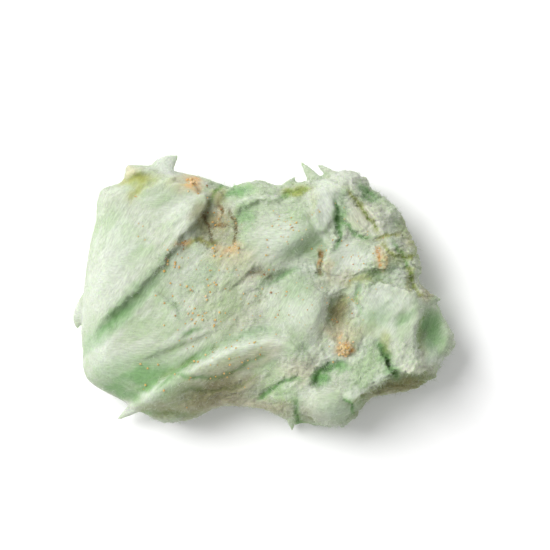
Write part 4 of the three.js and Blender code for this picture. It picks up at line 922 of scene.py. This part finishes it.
# Strands as closed three-sided spindles: each centre line carries a triangle whose size swells from a
# point and back to a point. centres is strands by stations by three. A strand's tints are those of the skin
# at its root.
def spindles(name, centres, thickness, shade, roots):
    strands, stations, _ = centres.shape
    tangent = np.gradient(centres, axis=1)
    tangent /= np.maximum(np.linalg.norm(tangent, axis=2, keepdims=True), 1e-6)
    side = np.cross(tangent, (0.13, 0.21, 0.97))  # any direction that hardly a strand follows
    side /= np.maximum(np.linalg.norm(side, axis=2, keepdims=True), 1e-6)
    face = np.cross(side, tangent)
    inner = np.arange(1, stations - 1)
    swell = np.sin(np.pi * inner / (stations - 1)) ** 0.5
    size = swell[None, :, None, None] * thickness[:, None, None, None]
    turn = (2 * np.pi * np.arange(3) / 3)[None, None, :, None]
    around = np.cos(turn) * side[:, inner, None] + np.sin(turn) * face[:, inner, None]
    rings = centres[:, inner, None] + size * around
    points = np.concatenate([rings.reshape(strands, -1, 3), centres[:, :1], centres[:, -1:]], axis=1)
    points[..., 2] = np.maximum(points[..., 2], 0)
    perStrand = points.shape[1]
    k = np.arange(3)
    after = (k + 1) % 3
    last = 3 * (len(inner) - 1)
    first = np.arange(0, last, 3)[:, None]
    quads = np.stack([first + k, first + after, first + 3 + after, first + 3 + k], -1)
    tips = np.concatenate([np.stack([np.full(3, last + 3), after, k], -1),
                           np.stack([np.full(3, last + 4), last + k, last + after], -1)])
    offsets = np.arange(strands)[:, None, None] * perStrand
    quads, tips = quads.reshape(-1, 4)[None] + offsets, tips[None] + offsets
    corners = np.concatenate([quads.ravel(), tips.ravel()])
    starts = np.concatenate([np.arange(0, quads.size, 4), quads.size + np.arange(0, tips.size, 3)])
    data = bpy.data.meshes.new(name)
    data.vertices.add(strands * perStrand)
    data.vertices.foreach_set("co", placed(points).ravel())
    data.loops.add(len(corners))
    data.loops.foreach_set("vertex_index", corners)
    data.polygons.add(len(starts))
    data.polygons.foreach_set("loop_start", starts)
    data.polygons.foreach_set("use_smooth", np.ones(len(starts), bool))
    data.update(calc_edges=True)
    data.validate()
    piece = bpy.data.objects.new(name, data)
    bpy.context.scene.collection.objects.link(piece)
    setAttribute(data, "shade", np.repeat(shade, perStrand))
    roots = np.repeat(roots, perStrand)
    paintTints(data, skinPoints[roots], skinNormals[roots, 2])
    return piece


lyingStrands = {
    "count": 8000, "stations": 6, "length": (1, 4.5), "thickness": (0.03, 0.055), "seeds": (11, 12),
    "spread": 34, "bend": 75,  # degrees off the grain and from end to end, as standard deviations
    "lift": (-0.03, 0.09), "widestGap": 0.4, "lowest": 6, "calmShare": 0.05, "blur": 0.35,
    # ellipses with more strands, written as the tints are
    "fans": [(63, -20, 3.4, 7, 0, 1), (47, -31, 5, 4, 30, 0.6), (-16, -36, 14, 4, 18, 0.5)],
}


# Strands that lie on the crown: each has its middle at a skin point, follows the grain with a bend of its
# own, and takes its height from the smoothed height map plus a small lift. One that would bridge a gap or
# leave the clump is left out.
def layStrands(name, seed):
    draw = np.random.default_rng(seed)
    count, lowest = lyingStrands["count"], lyingStrands["lowest"]
    crownX, crownY, crownZ = skinPoints.T
    share = lyingStrands["calmShare"] + tornAt(crownX, crownY) + tintAt(crownX, crownY, lyingStrands["fans"])
    weight = ((skinNormals[:, 2] > 0.2) & (crownZ > lowest)) * share
    roots = draw.choice(len(skinPoints), count, p=weight / weight.sum())
    startX, startY, _ = skinPoints[roots].T
    rough = np.clip(roughnessAt(startX, startY), 0.3, 1.3)
    swerve = np.radians(lyingStrands["spread"]) * (0.5 + rough) * draw.standard_normal(count)
    heading = grainAt(startX, startY) + swerve
    length = draw.uniform(*lyingStrands["length"], count) * (1.25 - 0.5 * rough)
    share = np.linspace(-0.5, 0.5, lyingStrands["stations"])[None, :]
    bend = np.radians(lyingStrands["bend"]) * draw.standard_normal(count)[:, None]
    turned = heading[:, None] + bend * share
    x = startX[:, None] + length[:, None] * share * np.cos(turned)
    y = startY[:, None] + length[:, None] * share * np.sin(turned)
    z = lookUp(strandHeights, x, y)
    centres = np.stack([x, y, z + draw.uniform(*lyingStrands["lift"], (count, 1))], -1)
    close = np.abs(z - lookUp(heights, x, y)).max(axis=1) < lyingStrands["widestGap"]
    kept = np.flatnonzero(close & (z.min(axis=1) > lowest))
    thickness = draw.uniform(*lyingStrands["thickness"], count)
    return spindles(name, centres[kept], thickness[kept], draw.random(count)[kept], roots[kept])


strandHeights = blurred(heights, lyingStrands["blur"])
strandPieces = [layStrands("strands" + str(k), seed) for k, seed in enumerate(lyingStrands["seeds"])]

fuzz = {
    "count": 12000, "stations": 4, "length": (0.3, 1.5), "thickness": (0.03, 0.065), "seed": 21,
    "lean": 0.6, "curl": 0.6, "rootDepth": 0.2, "lowest": 2,
    "edgeBlur": 1.4, "edgeHeight": 0.8, "edgeShare": 1.5,
    "steepShare": 0.5, "calmShare": 0.35, "tuftShare": 7,
    # ellipses with more fuzz, written as the tints are
    "tufts": [(-37.5, 13.5, 5, 1.4, 45, 1), (-33.5, 18.5, 2, 1.2, 45, 1), (-42, 8.5, 2, 1.2, 45, 0.8),
              (45, -34, 6, 1.5, 45, 0.8), (66, -29, 4, 1.5, 10, 0.8)],
}


# Fuzz: short strands that stand out of the skin, in tufts at torn edges, on lips that stand above their
# surroundings and where the skin turns away from above.
def standFuzz():
    draw = np.random.default_rng(fuzz["seed"])
    count = fuzz["count"]
    x, y, z = skinPoints.T
    above = z - lookUp(blurred(heights, fuzz["edgeBlur"]), x, y)
    lip = np.clip(above / fuzz["edgeHeight"] - 0.3, 0, 1) ** 2
    steep = (1 - np.abs(skinNormals[:, 2])) ** 2
    weight = (fuzz["steepShare"] * steep + fuzz["edgeShare"] * lip) * (fuzz["calmShare"] + tornAt(x, y))
    weight = (z > fuzz["lowest"]) * (weight + fuzz["tuftShare"] * tintAt(x, y, fuzz["tufts"]))
    weight *= ease((z.max() - z) / fuzz["length"][1])  # none on the very top
    roots = draw.choice(len(skinPoints), count, p=weight / weight.sum())
    out = skinNormals[roots] + fuzz["lean"] * draw.standard_normal((count, 3))
    out /= np.linalg.norm(out, axis=1, keepdims=True)
    curl = fuzz["curl"] * draw.standard_normal((count, 3))
    share = np.linspace(0, 1, fuzz["stations"])[None, :, None]
    length = draw.uniform(*fuzz["length"], count)[:, None, None]
    centres = skinPoints[roots][:, None] - fuzz["rootDepth"] * out[:, None]
    centres = centres + length * (out[:, None] * share + curl[:, None] * share ** 2)
    centres[..., 2] = np.minimum(centres[..., 2], z.max())  # none stands above the skin's highest point
    return spindles("fuzz", centres, draw.uniform(*fuzz["thickness"], count), draw.random(count), roots)


strandPieces.append(standFuzz())

strandLook = {"light": (0.830, 0.850, 0.780), "green": (0.600, 0.710, 0.530), "tintShare": 0.6,
              "roughness": 0.8, "specular": 0.15}


# The strands' finish: each strand's own shade between light and green, under the skin's tints, which carry
# the same painted shade of the hollows and painted shade and highlight of the ellipses.
def strandSugar():
    material, tree, shader = newMaterial("strandSugar")
    color = mixColors(tree, attributeOf(tree, "shade"), strandLook["light"], strandLook["green"])
    # painted shade: the same dark green in the hollows as on the skin
    color = overlaid(tree, color, "hollowShade", sugarLook["hollowShadeShare"], sugarLook["leaf"])
    for tint in sugarLook["layers"]:
        color = overlaid(tree, color, tint, strandLook["tintShare"], sugarLook[tint])
    tree.links.new(color, shader.inputs["Base Color"])
    shader.inputs["Roughness"].default_value = strandLook["roughness"]
    shader.inputs["Specular IOR Level"].default_value = strandLook["specular"]
    return material


strandMaterial = strandSugar()
for piece in strandPieces:
    piece.data.materials.append(strandMaterial)
    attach(piece, "root")
    print(piece.name, "made")

# crumbs of burnt sugar: (x, y, spread, count, smallest and largest half size, burn from pale 0 to brown 1)
crumbSpots = {
    "amberLump": (31.8, -21.3, 2.3, 60, 0.45, 0.85, 0.1), "lumpCrust": (27.5, -22, 2.6, 14, 0.25, 0.5, 0.4),
    "amberPatch": (-28, 42.6, 2.2, 36, 0.4, 0.75, 0.06), "patchEdge": (-23.5, 39.5, 2.4, 14, 0.3, 0.5, 0.6),
    "bowlFloor": (-13.5, 16.5, 5, 34, 0.25, 0.6, 0.5), "bowlWall": (-17.5, 29, 3.5, 16, 0.25, 0.6, 0.65),
    "bowlSide": (-11, 25, 2.4, 18, 0.2, 0.45, 0.45), "flapStreak": (-31, 19.3, 1.6, 12, 0.2, 0.45, 0.85),
    "underFlap": (-34.5, 11.5, 3, 12, 0.3, 0.6, 0.55), "flapSpecks": (-48, 24, 3, 4, 0.2, 0.4, 0.4),
    "flapHead": (-49.5, 37, 2, 5, 0.25, 0.45, 0.35), "northSpecks": (10, 27, 5.5, 30, 0.2, 0.42, 0.4),
    "tongueSpecks": (20, 29.5, 3, 10, 0.2, 0.45, 0.4), "slot": (21.8, 12.5, 1.8, 12, 0.2, 0.5, 0.6),
    "eastPly": (24.5, 17, 2.4, 5, 0.25, 0.45, 0.5), "eastSpecks": (39, 17, 7, 16, 0.15, 0.4, 0.45),
    "redSpeck": (52.3, 3.9, 0.4, 2, 0.3, 0.45, 0.8), "plyLump": (45.5, 12.5, 2.2, 8, 0.2, 0.45, 0.45),
    "pit": (28.5, -10, 3, 10, 0.2, 0.5, 0.85), "aboveLobe": (34, 0, 3.4, 14, 0.2, 0.45, 0.5),
    "darkCrumb": (2.9, 0.4, 0.1, 1, 0.5, 0.6, 1), "middleBrown": (-3, 8.5, 4.5, 8, 0.2, 0.4, 0.85),
    "middle": (-26, -2, 12, 54, 0.25, 0.55, 0.5), "rollCrest": (-17, -25, 12, 36, 0.22, 0.55, 0.5),
    "lowerLeft": (-42, -34, 7, 7, 0.3, 0.6, 0.5), "wide": (0, 2, 30, 140, 0.18, 0.4, 0.5),
    "northEast": (38, 18, 16, 50, 0.18, 0.4, 0.5),
}
crumbShape = {"seed": 31, "spreadShare": 0.6, "burnSpread": 0.2, "corner": (0.75, 1.15),
              "stretch": (0.75, 1.15), "lowest": 8, "leastCovered": 0.75, "blur": 0.4, "raised": 0.35}


# Corners and faces of a solid with twenty even sides, its corners at distance 1 from its middle: the
# corners of three golden rectangles, and every three of them that are neighbours.
def twentySided():
    golden = (1 + 5 ** 0.5) / 2
    corners = np.array([(s, t * golden, 0) for s in (-1, 1) for t in (-1, 1)])
    corners = np.vstack([np.roll(corners, shift, axis=1) for shift in range(3)]) / math.hypot(1, golden)
    apart = np.linalg.norm(corners[:, None] - corners[None], axis=2)
    edge = apart[apart > 0.1].min() * 1.01
    faces = []
    for i, j, k in itertools.combinations(range(12), 3):
        if max(apart[i, j], apart[j, k], apart[i, k]) < edge:
            outward = np.dot(np.cross(corners[j] - corners[i], corners[k] - corners[i]), corners[i]) > 0
            faces.append((i, j, k) if outward else (k, j, i))
    return corners, np.array(faces)


# Crumbs: twenty-sided grains with shifted corners, half sunk where they lie on the skin. All grains are one
# array of grains by corners by three.
def scatterCrumbs():
    draw = np.random.default_rng(crumbShape["seed"])
    rows = []
    for atX, atY, wide, count, low, high, burn in crumbSpots.values():
        reach = wide * crumbShape["spreadShare"]
        x, y = atX + reach * draw.standard_normal(count), atY + reach * draw.standard_normal(count)
        size = draw.uniform(low, high, count)
        burnt = np.clip(burn + crumbShape["burnSpread"] * draw.standard_normal(count), 0, 1)
        rows.append(np.column_stack([x, y, size, burnt]))
    rows = np.vstack(rows)
    x, y, _, _ = rows.T
    onTop = lookUp(heights, x, y) > crumbShape["lowest"]
    onTop &= lookUp(covered, x, y) > crumbShape["leastCovered"]
    x, y, size, burn = rows[onTop].T
    corners, faces = twentySided()
    stretch = draw.uniform(*crumbShape["stretch"], (len(x), 1, 3))
    shapes = corners[None] * draw.uniform(*crumbShape["corner"], (len(x), len(corners), 1))
    shapes = shapes * stretch * size[:, None, None]
    turn = draw.uniform(0, 2 * np.pi, len(x))[:, None]
    points = np.stack([shapes[..., 0] * np.cos(turn) - shapes[..., 1] * np.sin(turn),
                       shapes[..., 0] * np.sin(turn) + shapes[..., 1] * np.cos(turn), shapes[..., 2]], -1)
    z = lookUp(blurred(heights, crumbShape["blur"]), x, y) + crumbShape["raised"] * size
    points += np.stack([x, y, z], -1)[:, None]
    faces = (faces[None] + len(corners) * np.arange(len(x))[:, None, None]).reshape(-1, 3)
    piece = meshFrom("crumbs", [points.reshape(-1, 3)], [faces])
    setAttribute(piece.data, "burn", np.repeat(burn, len(corners)))
    return piece


crumbLook = {"pale": (0.740, 0.540, 0.300), "amber": (0.640, 0.375, 0.085), "brown": (0.160, 0.060, 0.022),
             "specks": (1800, 2, 0.3, 0.7), "speckShare": 0.4, "fine": (3000, 3, 0.2, 0.8), "bump": 0.5,
             "bumpDistance": 0.0002, "roughness": 0.55, "subsurface": 0.4,
             "subsurfaceReach": (0.0012, 0.0007, 0.0003)}


# The crumbs' finish: pale to amber to brown by how burnt a crumb is, with pale specks.
def burntSugar():
    material, tree, shader = newMaterial("burntSugar")
    look = crumbLook
    burn = attributeOf(tree, "burn")
    color = mixColors(tree, spread(tree, burn, 0, 0.5, 0, 1), look["pale"], look["amber"])
    color = mixColors(tree, spread(tree, burn, 0.55, 1, 0, 1), color, look["brown"])
    specks = spread(tree, noiseOf(tree, *look["specks"]), 0, 1, 0, look["speckShare"])
    tree.links.new(mixColors(tree, specks, color, look["pale"]), shader.inputs["Base Color"])
    addBump(tree, shader, noiseOf(tree, *look["fine"]), look["bump"], look["bumpDistance"])
    shader.inputs["Roughness"].default_value = look["roughness"]
    shader.inputs["Subsurface Weight"].default_value = look["subsurface"]
    shader.inputs["Subsurface Radius"].default_value = look["subsurfaceReach"]
    shader.inputs["Subsurface Scale"].default_value = 1.0
    return material


crumbs = scatterCrumbs()
crumbs.data.materials.append(burntSugar())
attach(crumbs, "root")
print("crumbs", len(crumbs.data.polygons), "faces")

stage = {
    "floor": (0.96, 0.96, 0.96), "floorSize": 8, "world": 0.52,  # sizes and the lamp's place in metres
    "lamp": (-1.27, 0.83, 2), "lampSize": 1.3, "lampPower": 64,
    "lens": 100, "sensor": 36, "clipEnd": 10,
    "width": 215.38, "aim": (4.503, 7.049, 25),  # millimetres across the picture, and where the camera looks
}


# Floor: one pale square at the height of the clump's underside.
def layFloor():
    half = stage["floorSize"] / 2
    corners = [(-half, -half, 0), (half, -half, 0), (half, half, 0), (-half, half, 0)]
    data = bpy.data.meshes.new("floor")
    data.from_pydata(corners, [], [(0, 1, 2, 3)])
    paper, _, shader = newMaterial("paper")
    shader.inputs["Base Color"].default_value = (*stage["floor"], 1)
    data.materials.append(paper)
    floor = bpy.data.objects.new("floor", data)
    bpy.context.scene.collection.objects.link(floor)


# Light: a window to the upper left of the picture, and a white room.
def lightRoom():
    data = bpy.data.lights.new("window", "AREA")
    data.energy, data.size = stage["lampPower"], stage["lampSize"]
    lamp = bpy.data.objects.new("window", data)
    lamp.location = stage["lamp"]
    lamp.rotation_euler = (-Vector(stage["lamp"])).to_track_quat("-Z", "Y").to_euler()
    bpy.context.scene.collection.objects.link(lamp)
    world = bpy.data.worlds.new("room")
    world.use_nodes = True
    world.node_tree.nodes["Background"].inputs[0].default_value = (1, 1, 1, 1)
    world.node_tree.nodes["Background"].inputs[1].default_value = stage["world"]
    bpy.context.scene.world = world
    bpy.context.scene.view_settings.view_transform = "Standard"


# Camera: straight above, at the distance at which the picture's width fills its sensor.
def placeCamera():
    data = bpy.data.cameras.new("camera")
    data.lens, data.sensor_width, data.clip_end = stage["lens"], stage["sensor"], stage["clipEnd"]
    camera = bpy.data.objects.new("camera", data)
    distance = stage["width"] * mm * stage["lens"] / stage["sensor"]
    camera.location = Vector(placed(np.array(stage["aim"]))) + Vector((0, 0, distance))
    bpy.context.scene.collection.objects.link(camera)
    bpy.context.scene.camera = camera


layFloor()
lightRoom()
placeCamera()
print("stage set")
